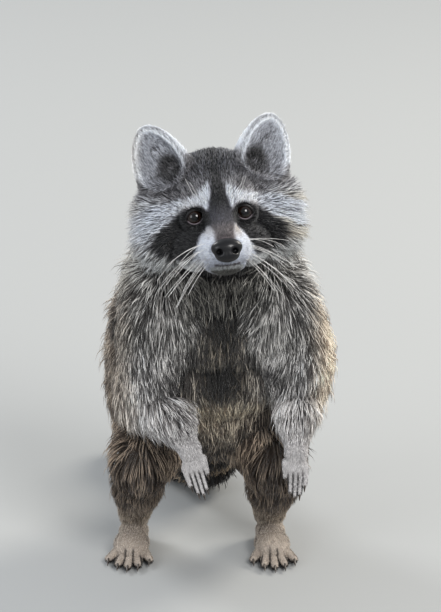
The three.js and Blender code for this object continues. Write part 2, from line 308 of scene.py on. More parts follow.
# Paws: half width and half thickness of the palm, then the digits, from the inner one out
HAND = dict(
    palm=(9.5, 6), digits=(11, 16, 18, 17, 13), roots_back=(8, 1.5, 0, 1, 4), pitch=4.3,
    spread=-0.12, sunk=0, radii=(3.2, 2.5), claw=6.5,
)
FOOT = dict(
    palm=(15, 11), digits=(13, 18, 20, 18, 13), roots_back=(7, 1.5, 0, 1.5, 6), pitch=6.4,
    spread=0.3, sunk=4.2, radii=(4.6, 3.6), claw=9,
)
PALM_COAT, PALM_HAIR = {"hand": 0.7, "foot": 1.5}, {"hand": 4.5, "foot": 7}
DIGIT_COAT = {"hand": 0.75, "foot": 1.0}
HEEL_BEHIND_ANKLE = 6
paws = {}  # name: frame, claw length and the tips of its digits


def add_paw(area, side, sizes, start, tips):
    """Adds the palm and digits of a paw, from its start to the tip of its middle digit."""
    sign = 1 if side == "left" else -1
    along = (tips - start) / np.linalg.norm(tips - start)
    across = np.array([1.0, 0, 0]) - along * along[0]
    across /= np.linalg.norm(across)
    stand = (np.stack([across, -along, np.cross(along, across)], 1), start)
    knuckles = np.linalg.norm(tips - start) - max(sizes["digits"])
    half_width, half_thick = sizes["palm"]
    for middle, size in (
        ((0, knuckles * 0.22, 0), (half_width * 0.8, knuckles * 0.35, half_thick)),
        ((0, knuckles * 0.62, 0), (half_width, knuckles * 0.45, half_thick * 0.9)),
    ):
        shape = (stand, np.array(middle), np.array(size))
        add_lobe(area + "_" + side, "ball", shape, PALM_COAT[area], PALM_HAIR[area], along)
    ends = []
    for i, (length, back) in enumerate(zip(sizes["digits"], sizes["roots_back"])):
        aside = (i - 2) * sizes["pitch"] * sign
        first, last = sizes["radii"]
        root = (aside * 0.9, knuckles - back - first, -sizes["sunk"])
        end = (aside * (1 + sizes["spread"]), knuckles - back + length - last, -sizes["sunk"])
        shape = (out_of(stand, root), out_of(stand, end), first, last)
        add_lobe(area + "_" + side, "bone", shape, DIGIT_COAT[area], 2.2, along)
        ends.append(np.array(end) + (0, last, 0.6))
    paws[area + "_" + side] = (stand, sizes["claw"], ends)


for side, places in ARMS.items():
    add_paw("hand", side, HAND, on_body(places[2]), on_body(places[3]))
for side, places in LEGS.items():
    ankle, toes = on_body(places[2]), on_body(places[3])
    heel = np.array([ankle[0], ankle[1] + HEEL_BEHIND_ANKLE, toes[2] + 1])
    add_paw("foot", side, FOOT, heel, toes)

# Tail: points down its middle, with radii over the coat
TAIL_COAT, TAIL_HAIR = 15, 33
TAIL = (
    ((-11, -62, 96), 21), ((-10, -94, 62), 25), ((-12, -126, 37), 28),
    ((-22, -156, 28), 30), ((-40, -184, 27), 29), ((-57, -205, 23), 23),
)
tail_line = np.array([on_body(place) for place, _ in TAIL])
for i in range(len(TAIL) - 1):
    shape = (tail_line[i], tail_line[i + 1], TAIL[i][1], TAIL[i + 1][1])
    way = tail_line[i + 1] - tail_line[i]
    add_lobe("tail", "bone", shape, TAIL_COAT, TAIL_HAIR, way / np.linalg.norm(way))

# Lobes of one group run together over so many millimetres, and the groups over JOIN_SOFTNESS
SOFTNESS = dict(head=4, jaw=3, lids=1, ear=1.5, body=6, forearm=5, tail=3, hand=0.8, foot=0.8)
JOIN_SOFTNESS, SHARE_SOFTNESS = 2.6, 5
groups = {}
for lobe in lobes:
    key = "body" if lobe["area"] in ("trunk", "neck", "arm", "thigh", "shank") else lobe["area"]
    groups.setdefault(key, []).append(lobe)

# What is cut out of the hide: the openings of the lids, the mouth, and the floor below
CUT_SOFTNESS, FLOOR_GAP = 0.5, 0.3
LID_OPENING, LID_OPENING_AHEAD = (6.9, 10, 6.0), 3
MOUTH = ((0, 46, -37), (0, 43, -39.6), (7, 38, -39.6), (13, 28, -38.0), (18, 14, -35))
MOUTH_RADII = (0.45, 0.4)


def cut_out(distance, points):
    """Takes the cuts out of a distance, with slightly soft edges."""
    cuts = [points[..., 2] - FLOOR_GAP]
    for sign in (1, -1):
        middle = np.array([sign * EYE_SPREAD, LID_OPENING_AHEAD, 0])
        cuts.append(ball_distance((HEAD, middle, np.array(LID_OPENING)), points))
    for sign in (1, -1):
        places = [out_of(HEAD, (sign * across, *rest)) for across, *rest in MOUTH]
        cuts += [bone_distance((*ends, *MOUTH_RADII), points) for ends in zip(places, places[1:])]
    for cut in cuts:
        distance = CUT_SOFTNESS * np.logaddexp(distance / CUT_SOFTNESS, -cut / CUT_SOFTNESS)
    return distance


def distance_and_shares(points, coat=0):
    """Distance outside the hide, or with coat=1 outside the coat, and each lobe's share there."""
    total, shares = 0, np.zeros((len(lobes), len(points)), np.float32)
    for key, members in groups.items():
        soft = SOFTNESS[key.split("_")[0]]
        near = [DISTANCES[m["kind"]](m["shape"], points) for m in members]
        weights = np.exp(-np.array(near) / soft)
        whole = weights.sum(0)
        depth = (weights * [[m["depth"]] for m in members]).sum(0) / np.maximum(whole, 1e-30)
        distance = -soft * np.log(np.maximum(whole, 1e-30)) + depth * (1 - coat)
        total = total + np.exp(-distance / JOIN_SOFTNESS)
        for member, away in zip(members, near):
            inside_it = np.maximum(away + member["depth"], -20)
            shares[member["row"]] = np.exp(-inside_it / SHARE_SOFTNESS)
    distance = -JOIN_SOFTNESS * np.log(np.maximum(total, 1e-30))
    return distance if coat else cut_out(distance, points), shares


def hide_distance(points):
    return distance_and_shares(points)[0]


def grid_lines(*spans):
    """Lines of the grid along one axis: (start, step) pairs, then the end."""
    starts = [start for start, _ in spans[:-1]] + [spans[-1]]
    runs = [
        np.linspace(a, b, max(1, round((b - a) / step)), endpoint=False)
        for (a, step), b in zip(spans[:-1], starts[1:])
    ]
    return np.concatenate(runs + [[spans[-1]]])


# The grid is finer at the head, the hands and the feet
GRID = (
    grid_lines((-94, 2.0), (-33, 1.15), (39, 2.0), 95),
    grid_lines((-186, 1.2), (-88, 1.8), (-60, 2.7), 186),
    grid_lines((-1.5, 1.1), (22, 2.4), (76, 1.3), (128, 2.8), (272, 1.25), 386),
)
CUT_BOXES = ((-94, -186, -2), (95, 186, 4)), ((-32, -175, 262), (40, -95, 340))  # soles, face
EAR_REACH = 50  # no part of an ear is further from its root


def reach_of(lobe):
    """The box that a lobe stays inside."""
    kind, shape = lobe["kind"], lobe["shape"]
    if kind == "bone":
        radius = max(shape[2:])
        return np.minimum(*shape[:2]) - radius, np.maximum(*shape[:2]) + radius
    if kind == "cup":
        return shape[0][1] - EAR_REACH, shape[0][1] + EAR_REACH
    centre = out_of(shape[0], shape[1])
    half = np.abs(shape[0][0]) @ shape[2]
    return centre - half, centre + half


total = np.zeros([len(axis) for axis in GRID], np.float32)
for key, members in groups.items():
    soft = SOFTNESS[key.split("_")[0]]
    edges = [reach_of(m) for m in members]
    margin = 3 * soft + 6  # a lobe adds next to nothing beyond this
    low = np.min([e[0] for e in edges], 0) - margin
    high = np.max([e[1] for e in edges], 0) + margin
    span = [slice(*np.searchsorted(GRID[i], (low[i], high[i]))) for i in range(3)]
    whole = np.zeros([len(GRID[i][span[i]]) for i in range(3)], np.float32)
    deep = np.zeros_like(whole)
    for member, (low, high) in zip(members, edges):
        inner = []
        for i in range(3):
            a, b = np.searchsorted(GRID[i], (low[i] - margin, high[i] + margin))
            inner.append(slice(max(a - span[i].start, 0), b - span[i].start))
        axes = [GRID[i][span[i]][inner[i]] for i in range(3)]
        points = np.stack(np.meshgrid(*axes, indexing="ij"), -1)
        weight = np.exp(-DISTANCES[member["kind"]](member["shape"], points) / soft)
        whole[tuple(inner)] += weight
        deep[tuple(inner)] += weight * member["depth"]
    depth = deep / np.maximum(whole, 1e-30)
    distance = -soft * np.log(np.maximum(whole, 1e-30)) + depth
    total[tuple(span)] += np.exp(-distance / JOIN_SOFTNESS)
distance = -JOIN_SOFTNESS * np.log(np.maximum(total, 1e-20))
for low, high in CUT_BOXES:
    span = tuple(slice(*np.searchsorted(GRID[i], (low[i], high[i]))) for i in range(3))
    points = np.stack(np.meshgrid(*[GRID[i][span[i]] for i in range(3)], indexing="ij"), -1)
    distance[span] = cut_out(distance[span], points)


def level_surface(distance, axes, band):
    """The largest connected shell where a distance known on a grid is nothing, facing out."""
    grid = openvdb.FloatGrid()
    grid.copyFromArray(np.clip(distance, -band, band).astype(np.float32))
    points, triangles, quads = grid.convertToPolygons(isovalue=0.0, adaptivity=0.0)
    places = [np.interp(points[:, i], np.arange(len(axis)), axis) for i, axis in enumerate(axes)]
    points = np.stack(places, 1)
    triangles = np.concatenate([triangles, quads[:, :3], quads[:, [0, 2, 3]]]).astype(np.int64)
    label = np.arange(len(points))
    while True:
        low = label[triangles].min(1)
        new = label.copy()
        np.minimum.at(new, triangles.ravel(), np.repeat(low, 3))
        new = new[new]
        if (new == label).all():
            break
        label = new
    values, counts = np.unique(label, return_counts=True)
    keep = label == values[counts.argmax()]
    index = np.cumsum(keep) - 1
    points, triangles = points[keep], index[triangles[keep[triangles].all(1)]]
    corners = points[triangles] - points.mean(0)
    if np.einsum("ij,ij->i", corners[:, 0], np.cross(corners[:, 1], corners[:, 2])).sum() < 0:
        triangles = triangles[:, ::-1].copy()
    return points, triangles


NUDGE = 0.05


def slope_of(distance, points, middle):
    """How a distance, which is 'middle' at the points, rises along X, Y and Z."""
    rises = [distance(points + NUDGE * np.eye(3)[i]) - middle for i in range(3)]
    return np.stack(rises, 1) / NUDGE


def settle(distance, points):
    """Moves points in two steps to where a distance is nothing. Gives its slope there too."""
    for _ in range(2):
        middle = distance(points)
        slope = slope_of(distance, points, middle)
        steep = np.maximum(np.linalg.norm(slope, axis=1), 0.3)
        step = np.clip(middle / steep, -0.8, 0.8)
        points = points - (step / steep)[:, None] * slope
    return points, slope


def unit(ways):
    """Directions with a length of one."""
    return ways / np.maximum(np.linalg.norm(ways, axis=-1), 1e-6)[..., None]


points, triangles = level_surface(distance, GRID, 6)
points, slope = settle(hide_distance, points)
points[:, 2] = np.maximum(points[:, 2], 0.2)  # the soles lie just over the floor
normals = unit(slope)
shares = distance_and_shares(points)[1]
shares /= np.maximum(shares.sum(0), 1e-20)


def mixed(values):
    """A value of each lobe, run together over the hide."""
    return shares.T @ np.array(values, np.float32)


def eased(value, low, high):
    """0 below low, 1 above high, and a smooth rise between."""
    part = np.clip((value - low) / (high - low), 0, 1)
    return part * part * (3 - 2 * part)


def fading(value, low, high):
    """1 below low, 0 above high."""
    return 1 - eased(value, low, high)


def bell(*values):
    """1 where all the values are nothing, and a smooth fall round that."""
    return np.exp(-sum(value**2 for value in values))


def share_of(matches):
    """How much of the hide at each point is of the lobes that match."""
    return mixed([float(matches(lobe)) for lobe in lobes])


AREAS = "head jaw lids ear trunk neck arm forearm thigh shank hand foot tail".split()
area_shares = [share_of(lambda lobe: lobe["area"].startswith(area)) for area in AREAS]
area_shares = np.stack(area_shares, 1)
coat_depth = mixed([lobe["depth"] for lobe in lobes])
hair_length = np.zeros(len(points))
for i, lobe in enumerate(lobes):
    first, last = lobe["hair"] if isinstance(lobe["hair"], tuple) else (lobe["hair"],) * 2
    part = 0
    if first != last:
        start, end = lobe["shape"][:2]
        part = np.clip((points - start) @ (end - start) / np.square(end - start).sum(), 0, 1)
    hair_length += shares[i] * (first + (last - first) * part)


def flattened(ways, normals):
    """Lays directions down along the hide, and gives each a length of one."""
    ways -= normals * np.einsum("ij,ij->i", ways, normals)[:, None]
    ways /= np.maximum(np.linalg.norm(ways, axis=1), 1e-6)[:, None]
    return ways


# Which way the coat lies: back from the nose on the head and drooping at the cheeks and nape,
# away from the eyes round them, and down on the trunk, drawn to the middle in front
NOSE_TIP, EYE_PARTING, EYE_PARTING_REACH = (0, 40, -26), 1.6, 13
CHEEK_DROOP, NAPE_DROOP = 0.6, 0.9
CROWN_EXTRA = 8  # millimetres more hair at the back of the crown
head_place = in_frame(HEAD, points)
across, forward, up = head_place.T
wide = np.abs(across)
from_nose = unit(head_place - NOSE_TIP)
from_nose[:, 2] -= CHEEK_DROOP * eased(wide, 20, 42) * fading(up, 8, 30)
from_nose[:, 2] -= NAPE_DROOP * eased(-forward, 24, 70) * fading(up, 12, 36)
for sign in (1, -1):
    away = head_place - (sign * EYE_SPREAD, -EYE_DEPTH, 0)
    far = np.linalg.norm(away, axis=1)[:, None]
    from_nose += away / far * EYE_PARTING * np.exp(-((far / EYE_PARTING_REACH) ** 4))
from_nose = from_nose * (1, -1, 1) @ HEAD[0].T
hair_length += CROWN_EXTRA * eased(-forward, 44, 66) * eased(up, 6, 20) * fading(wide, 26, 44)
body_across, body_forward, body_up = in_frame(BODY, points).T
in_front = eased(body_forward, 12, 32)
inward = np.clip(body_across / 35, -1, 1) * fading(np.abs(body_across), 52, 74)
sideways = (1 - in_front) * body_across / 180 - 0.42 * in_front * inward
downward = np.stack([sideways, np.full(len(points), 0.2), np.full(len(points), -1)], 1)
lie = mixed([np.zeros(3) if isinstance(lobe["lie"], str) else lobe["lie"] for lobe in lobes])
for name, way in (("nose", from_nose), ("down", downward)):
    lie += share_of(lambda lobe: str(lobe["lie"]) == name)[:, None] * way

# The rims of the ears carry a fringe that stands outward from the middle of the ear
EAR_MIDDLE = 12  # over its root
ear_rim = np.zeros(len(points))
for lobe in lobes:
    if lobe["area"] == "ear":
        outer, hollow = cup_pair(lobe["shape"], points)
        near = np.abs(outer) < 6
        ear_rim = np.maximum(ear_rim, near * bell((np.abs(outer) + np.abs(hollow)) / 2.2))
        turned, root = lobe["shape"][0]
        outward = unit(points - (root + turned[:, 2] * EAR_MIDDLE))
        lie += (ear_rim * near)[:, None] * outward * 1.5
on_ear = area_shares[:, AREAS.index("ear")]
coat_depth = np.maximum(coat_depth, 0.4) + on_ear * (0.9 + 1.6 * ear_rim)
lie = flattened(lie, normals)


def inside(outline, x, y):
    """Distance inside a closed outline, negative outside."""
    away = np.full(len(x), 1e9)
    odd = np.zeros(len(x), bool)
    for (x0, y0), (x1, y1) in zip(outline, outline[1:] + outline[:1]):
        dx, dy = x1 - x0, y1 - y0
        part = np.clip(((x - x0) * dx + (y - y0) * dy) / (dx * dx + dy * dy), 0, 1)
        away = np.minimum(away, np.hypot(x - x0 - part * dx, y - y0 - part * dy))
        if y0 != y1:
            odd ^= ((y0 > y) != (y1 > y)) & (x < x0 + (y - y0) / (y1 - y0) * dx)
    return np.where(odd, away, -away)


def lumps(points, size, seed):
    """Smooth random values from -1 to 1, in lumps of a size in millimetres."""
    place = points / size
    cell = np.floor(place).astype(np.int64)
    part = place - cell
    part = part * part * (3 - 2 * part)
    value = 0
    for step in np.ndindex(2, 2, 2):
        mixed_bits = (cell + step) @ np.array([374761393, 668265263, 2246822519]) + seed * 40503
        mixed_bits = (mixed_bits ^ (mixed_bits >> 13)) * 1274126177
        random_part = ((mixed_bits ^ (mixed_bits >> 16)) & 0xFFFF) / 65535
        value = value + random_part * np.prod(np.where(step, part, 1 - part), axis=1)
    return value * 2 - 1


# Outlines on the head, across from its middle and up from the eyes: the dark mask over the
# eyes and cheeks, the white band round it, and the white of the muzzle
MASK = [
    (9, 1), (13, 6.5), (19, 8), (26, 6.5), (33, 2), (42, -5), (52, -12), (55, -19), (50, -27),
    (36, -31), (26, -33), (22.5, -25), (17.6, -15), (12.5, -8.5), (8.5, -6),
]
BROW = [
    (6.4, 5), (6.2, 17), (6.8, 25), (10, 23), (17, 17), (36, 14.5), (54, 10), (70, 3), (72, -14),
    (60, -17), (54, -9), (41, -3), (33, 4), (26, 7.5), (19, 9), (13, 7.5), (10, 3),
]
MUZZLE = [
    (9.5, -9), (12.5, -8.5), (17.5, -15.5), (22, -24), (25.5, -33), (22, -39), (12, -44), (-1, -46),
    (-1, -30), (7.8, -20), (7.8, -14),
]

# Tones of the coat: colours in sRGB of its pale hairs and its dark ones, and the share of pale
TONES = {
    "head": ((0.69, 0.67, 0.655), (0.205, 0.195, 0.205), 0.46),
    "crown": ((0.43, 0.425, 0.44), (0.07, 0.07, 0.082), 0.27),
    "temple": ((0.68, 0.66, 0.65), (0.25, 0.24, 0.245), 0.46),
    "cheek": ((0.93, 0.92, 0.90), (0.40, 0.385, 0.38), 0.74),
    "sunlit cheek": ((0.91, 0.87, 0.79), (0.55, 0.49, 0.42), 0.8),
    "jowl": ((0.90, 0.885, 0.85), (0.50, 0.48, 0.45), 0.76),
    "under jaw": ((0.70, 0.68, 0.63), (0.24, 0.23, 0.21), 0.5),
    "brow": ((0.98, 0.98, 0.98), (0.50, 0.49, 0.50), 0.84),
    "stripe": ((0.15, 0.15, 0.18), (0.045, 0.047, 0.06), 0.1),
    "stripe edge": ((0.34, 0.33, 0.36), (0.13, 0.125, 0.145), 0.4),
    "bridge": ((0.50, 0.455, 0.44), (0.27, 0.24, 0.235), 0.5),
    "mask": ((0.12, 0.12, 0.14), (0.036, 0.035, 0.044), 0.07),
    "lids": ((0.09, 0.085, 0.09), (0.035, 0.03, 0.035), 0.06),
    "muzzle": ((0.95, 0.945, 0.945), (0.78, 0.77, 0.775), 0.88),
    "cream": ((0.86, 0.81, 0.75), (0.56, 0.52, 0.48), 0.76),
    # painted shade: the lower part of the white muzzle, greyer and cooler
    "lower muzzle in painted shade": ((0.78, 0.78, 0.795), (0.56, 0.56, 0.58), 0.74),
    "specks": ((0.62, 0.61, 0.60), (0.42, 0.41, 0.41), 0.6),
    "chin": ((0.74, 0.735, 0.71), (0.44, 0.43, 0.41), 0.66),
    # painted shade: the lowest part of the chin, darker
    "chin tip in painted shade": ((0.40, 0.385, 0.34), (0.17, 0.16, 0.14), 0.4),
    "lips": ((0.42, 0.39, 0.38), (0.22, 0.2, 0.2), 0.36),
    "nape": ((0.64, 0.61, 0.58), (0.17, 0.16, 0.156), 0.4),
    "ear": ((0.52, 0.50, 0.49), (0.19, 0.18, 0.18), 0.5),
    "ear cup": ((0.82, 0.815, 0.81), (0.52, 0.51, 0.51), 0.64),
    # painted shade: near-black deep in the hollow of each ear
    "ear hollow in painted shade": ((0.24, 0.225, 0.22), (0.022, 0.02, 0.02), 0.1),
    "ear rim": ((0.99, 0.985, 0.97), (0.86, 0.84, 0.82), 0.95),
    "body": ((0.66, 0.61, 0.55), (0.18, 0.16, 0.15), 0.42),
    "saddle": ((0.5, 0.46, 0.42), (0.12, 0.11, 0.11), 0.26),
    "right flank": ((0.80, 0.75, 0.69), (0.35, 0.31, 0.28), 0.58),
    # painted warm rim light: the left flank paler and creamier than the right
    "left flank in painted rim light": ((1.0, 0.965, 0.90), (0.64, 0.57, 0.49), 0.8),
    "breast": ((0.92, 0.90, 0.86), (0.26, 0.24, 0.23), 0.54),
    # painted shade: the recessed middle of the breast, between the arms, darker
    "breast middle in painted shade": ((0.69, 0.65, 0.585), (0.17, 0.152, 0.138), 0.36),
    # painted shade: dark patches on the breast between the arms
    "breast patch in painted shade": ((0.25, 0.225, 0.19), (0.055, 0.048, 0.042), 0.12),
    "belly": ((0.94, 0.895, 0.80), (0.46, 0.40, 0.33), 0.64),
    "throat": ((0.78, 0.765, 0.73), (0.19, 0.185, 0.175), 0.46),
    # painted shade: the throat just under the chin, darker
    "under chin in painted shade": ((0.60, 0.585, 0.54), (0.12, 0.115, 0.105), 0.34),
    "neck sides": ((0.95, 0.94, 0.91), (0.33, 0.315, 0.30), 0.66),
    "arm": ((1.0, 0.985, 0.965), (0.26, 0.25, 0.25), 0.6),
    "arm behind": ((0.76, 0.71, 0.65), (0.24, 0.22, 0.205), 0.5),
    "arm shaded": ((0.62, 0.60, 0.58), (0.15, 0.14, 0.14), 0.28),
    "elbow": ((1.0, 0.985, 0.965), (0.48, 0.46, 0.45), 0.78),
    "shoulder": ((0.88, 0.865, 0.84), (0.21, 0.2, 0.19), 0.5),
    # painted warm rim light: the outer side of the left arm paler and creamier
    "left arm in painted rim light": ((0.98, 0.93, 0.85), (0.55, 0.48, 0.42), 0.74),
    "right arm": ((0.84, 0.79, 0.73), (0.36, 0.32, 0.29), 0.6),
    "forearm": ((0.96, 0.945, 0.925), (0.42, 0.40, 0.39), 0.68),
    "wrist": ((0.90, 0.885, 0.875), (0.58, 0.565, 0.56), 0.76),
    "thigh": ((0.78, 0.71, 0.63), (0.27, 0.23, 0.20), 0.5),
    "shank": ((0.62, 0.555, 0.49), (0.21, 0.18, 0.16), 0.44),
    "ankle": ((0.84, 0.79, 0.72), (0.48, 0.44, 0.40), 0.66),
    "hand": ((0.86, 0.855, 0.86), (0.62, 0.615, 0.62), 0.78),
    "foot": ((0.84, 0.80, 0.755), (0.54, 0.50, 0.465), 0.7),
    "pads": ((0.20, 0.17, 0.165), (0.10, 0.08, 0.08), 0.3),
    # painted shade: near-black in the gaps between the digits
    "painted shade between digits": ((0.16, 0.145, 0.14), (0.05, 0.045, 0.045), 0.12),
    "tail": ((0.74, 0.67, 0.57), (0.42, 0.35, 0.28), 0.6),
    "tail ring": ((0.20, 0.17, 0.15), (0.07, 0.06, 0.055), 0.2),
}


def fresh(tone, count):
    """Pale hairs, dark hairs and the share of pale ones at a number of points."""
    pale, dark, share = TONES[tone]
    return [np.tile(pale, (count, 1)), np.tile(dark, (count, 1)), np.full(count, share, float)]


def lay(base, tone, amount):
    """Lays a tone over another, by an amount from 0 to 1 at each point."""
    amount = np.clip(amount, 0, 1)
    pale, dark, share = TONES[tone]
    base[0] += amount[:, None] * (np.array(pale) - base[0])
    base[1] += amount[:, None] * (np.array(dark) - base[1])
    base[2] += amount * (share - base[2])


def head_hair(points, grain):
    """The head, jaw and lids. Each next tone lies over the ones before it."""
    across, forward, up = in_frame(HEAD, points).T
    wide = np.abs(across)
    head = fresh("head", len(points))
    lay(head, "crown", bell(wide / 21) * eased(up, 18, 40))
    lay(head, "temple", eased(wide, 20, 34) * eased(up, 12, 24))
    lay(head, "cheek", eased(wide, 33, 48) * fading(up, 12, 26))
    lay(head, "sunlit cheek", eased(across, 30, 60) * fading(up, 4, 18))
    lay(head, "jowl", eased(wide, 12, 24) * fading(up, -28, -20))
    lay(head, "under jaw", fading(up, -50, -41))
    face = eased(forward, -62, -40)
    lay(head, "brow", face * eased(inside(BROW, wide, up), -2 + grain, 2 + grain))
    stripe = 3.6 + 5.4 * fading(up, -4, 30)
    fainter = 1 - 0.5 * eased(up, 30, 44)
    lay(head, "stripe", face * eased(stripe - wide, -1.2, 1.2) * fainter)
    lay(head, "stripe edge", face * eased(stripe + 1.5 - wide, -1.5, 1.5) * fading(up, -2, 14))
    lay(head, "bridge", face * eased(9.4 - wide, -1.6, 1.6) * fading(up, -12, -2))
    masked = eased(inside(MASK, wide, up), -1.3 + grain, 1.3 + grain)
    lay(head, "mask", eased(forward, -50, -34) * masked)
    eye = np.hypot(wide - EYE_SPREAD, up * 1.05)
    lay(head, "lids", face * fading(eye, 7.6, 9.2))
    white = eased(inside(MUZZLE, wide, up), -2, 2) * eased(forward, -2, 9)
    lay(head, "muzzle", white)
    cream = eased(up, -22, -11) * (0.45 + 0.55 * eased(across, -6, 6)) * fading(wide, 12, 17)
    lay(head, "cream", white * cream)
    # Painted shade: the lower part of the white muzzle is greyer and cooler
    lay(head, "lower muzzle in painted shade", white * eased(-up, 31, 41))
    specks = eased(lumps(points, 2.6, 21), 0.3, 0.6) * eased(wide, 9, 13)
    lay(head, "specks", 0.2 * white * specks)
    chin = eased(forward, 8, 16) * fading(up, -41, -39.5) * fading(wide, 11, 16)
    lay(head, "chin", chin)
    # Painted shade: the lowest part of the chin is darker
    lay(head, "chin tip in painted shade", chin * fading(up, -43.8, -42.6))
    lip = np.hypot(np.clip(wide - 9, 0, 99) * 0.6, up + 40.2 - 0.012 * wide**2)
    lay(head, "lips", eased(forward, 14, 24) * fading(lip, 0.2, 1.2))
    lay(head, "nape", fading(forward, -82, -38) * fading(wide, 34, 60))
    return head


def ear_hair(points):
    """Pale in the cups, painted shade deep in them, and white round the rims."""
    ear = fresh("ear", len(points))
    for lobe in lobes:
        if lobe["area"] != "ear":
            continue
        stand = lobe["shape"][0]
        inward = np.sign(EYE_MIDDLE[0] - stand[1][0])
        aside, _, high = in_frame(stand, points).T
        outer, hollow = cup_pair(lobe["shape"], points)
        near = (np.abs(outer) < 14).astype(float)
        cup = near * fading(hollow, -0.3, 1.2)
        lay(ear, "ear cup", cup)
        # Painted shade deep in the cup, near its inner side
        deep = bell((aside - 5 * inward) / 10, high / 12)
        lay(ear, "ear hollow in painted shade", cup * eased(deep, 0.1, 0.7))
        rim = np.hypot(aside / 21, np.maximum(high, -6) / 40.5)
        crest = near * bell((np.abs(outer) + np.abs(hollow)) / 4) * eased(high, -4, 4)
        edge = np.maximum(eased(rim, 0.76, 0.92) * cup, crest)
        lay(ear, "ear rim", np.maximum(edge, near * eased(rim, 0.9, 0.99) * eased(high, 0, 8)))
    return ear


# Patches of painted shade on the breast, between the arms
BREAST_SHADE_PATCHES = ((226, 19), (174, 14))  # how high each dark patch is, and half its height


def body_hair(across, forward, up, patchy):
    """The trunk and the neck."""
    body = fresh("body", len(across))
    lay(body, "saddle", eased(-np.abs(across + 8), -30, -6) * fading(forward, -40, -10))
    lay(body, "right flank", eased(-across, 40, 66))
    # Painted warm rim light: the left flank is paler and creamier
    lay(body, "left flank in painted rim light", eased(across, 34, 58) * eased(forward, -42, 8))
    front = eased(forward, 18, 40)
    lay(body, "breast", front)
    # Painted shade: the recessed middle of the breast is darker
    lay(body, "breast middle in painted shade", front * bell((across + 1) / 27))
    # Painted shade: dark patches on the breast between the arms
    for high, tall in BREAST_SHADE_PATCHES:
        dark = bell((across - 2) / 17, (up - high) / tall)
        lay(body, "breast patch in painted shade", front * 1.35 * dark)
    lay(body, "belly", front * fading(up, 142, 160))
    body[2] += 0.2 * patchy

    neck = [part.copy() for part in body]
    throat = eased(forward, 10, 40)
    lay(neck, "nape", eased(up, 280, 318))
    lay(neck, "throat", throat)
    # Painted shade: the middle of the throat under the chin is darker
    lay(neck, "under chin in painted shade", throat * bell((across + 2) / 34))
    lay(neck, "neck sides", eased(np.abs(across + 1), 30, 54) * eased(forward, -6, 24))
    return body, neck


def limb_hair(across, forward, up, patchy):
    """The arms, forearms, thighs and shanks."""
    arm, forearm, thigh, shank = (
        fresh(tone, len(across)) for tone in ("arm", "forearm", "thigh", "shank")
    )
    lay(arm, "arm behind", fading(forward, 10, 36))
    for middle in (-41, 49):
        shaded = bell((across - middle) / 10, (up - 174) / 13)
        lay(arm, "arm shaded", 0.6 * shaded * eased(forward, 20, 40))
    lay(arm, "elbow", fading(up, 142, 166) * eased(forward, 20, 40))
    lay(arm, "shoulder", eased(up, 184, 214))
    arm[2] += 0.2 * patchy
    # Painted warm rim light: the outer side of the left arm is paler and creamier
    lay(arm, "left arm in painted rim light", eased(across, 62, 82))
    lay(arm, "right arm", eased(-across, 62, 84))
    lay(forearm, "wrist", fading(up, 112, 135))
    forearm[2] += 0.15 * patchy
    thigh[2] += 0.2 * patchy
    lay(shank, "ankle", fading(up, 18, 60))
    return arm, forearm, thigh, shank


PAD_DEPTH = {"hand": 2.2, "foot": 4.4}  # bare pads start so far under the middle of the paw


def paw_hair(points):
    """The hands and the feet, with bare dark pads and painted shade in the gaps between the digits.
    """
    hair = {area: fresh(area, len(points)) for area in PAD_DEPTH}
    for name, (stand, _, _) in paws.items():
        area = name.split("_")[0]
        _, reach, over = in_frame(stand, points).T
        near = np.linalg.norm(points - stand[1], axis=1) < 110
        under = near * fading(over, -PAD_DEPTH[area] - 1, -PAD_DEPTH[area] + 0.8)
        if area == "hand":
            under = under * eased(reach, 3, 8)
        lay(hair[area], "pads", under)
        # Painted shade in the gaps between the digits
        lay(hair[area], "painted shade between digits", near * gaps_between(name, stand, points))
    return hair["hand"], hair["foot"]


TAIL_RINGS = 6


def tail_hair(points, grain):
    """Dark rings and a dark tip."""
    tail = fresh("tail", len(points))
    along = tail_place(points)
    ring = eased(np.sin(along * TAIL_RINGS * 2 * np.pi - 1.4) + 0.25 * grain, -0.1, 0.45)
    lay(tail, "tail ring", np.maximum(ring, eased(along, 0.90, 0.95)))
    return tail


WARM_CAST, COOL_CAST = np.array((1.0, 0.99, 0.98)), np.array((0.965, 0.99, 1.035))


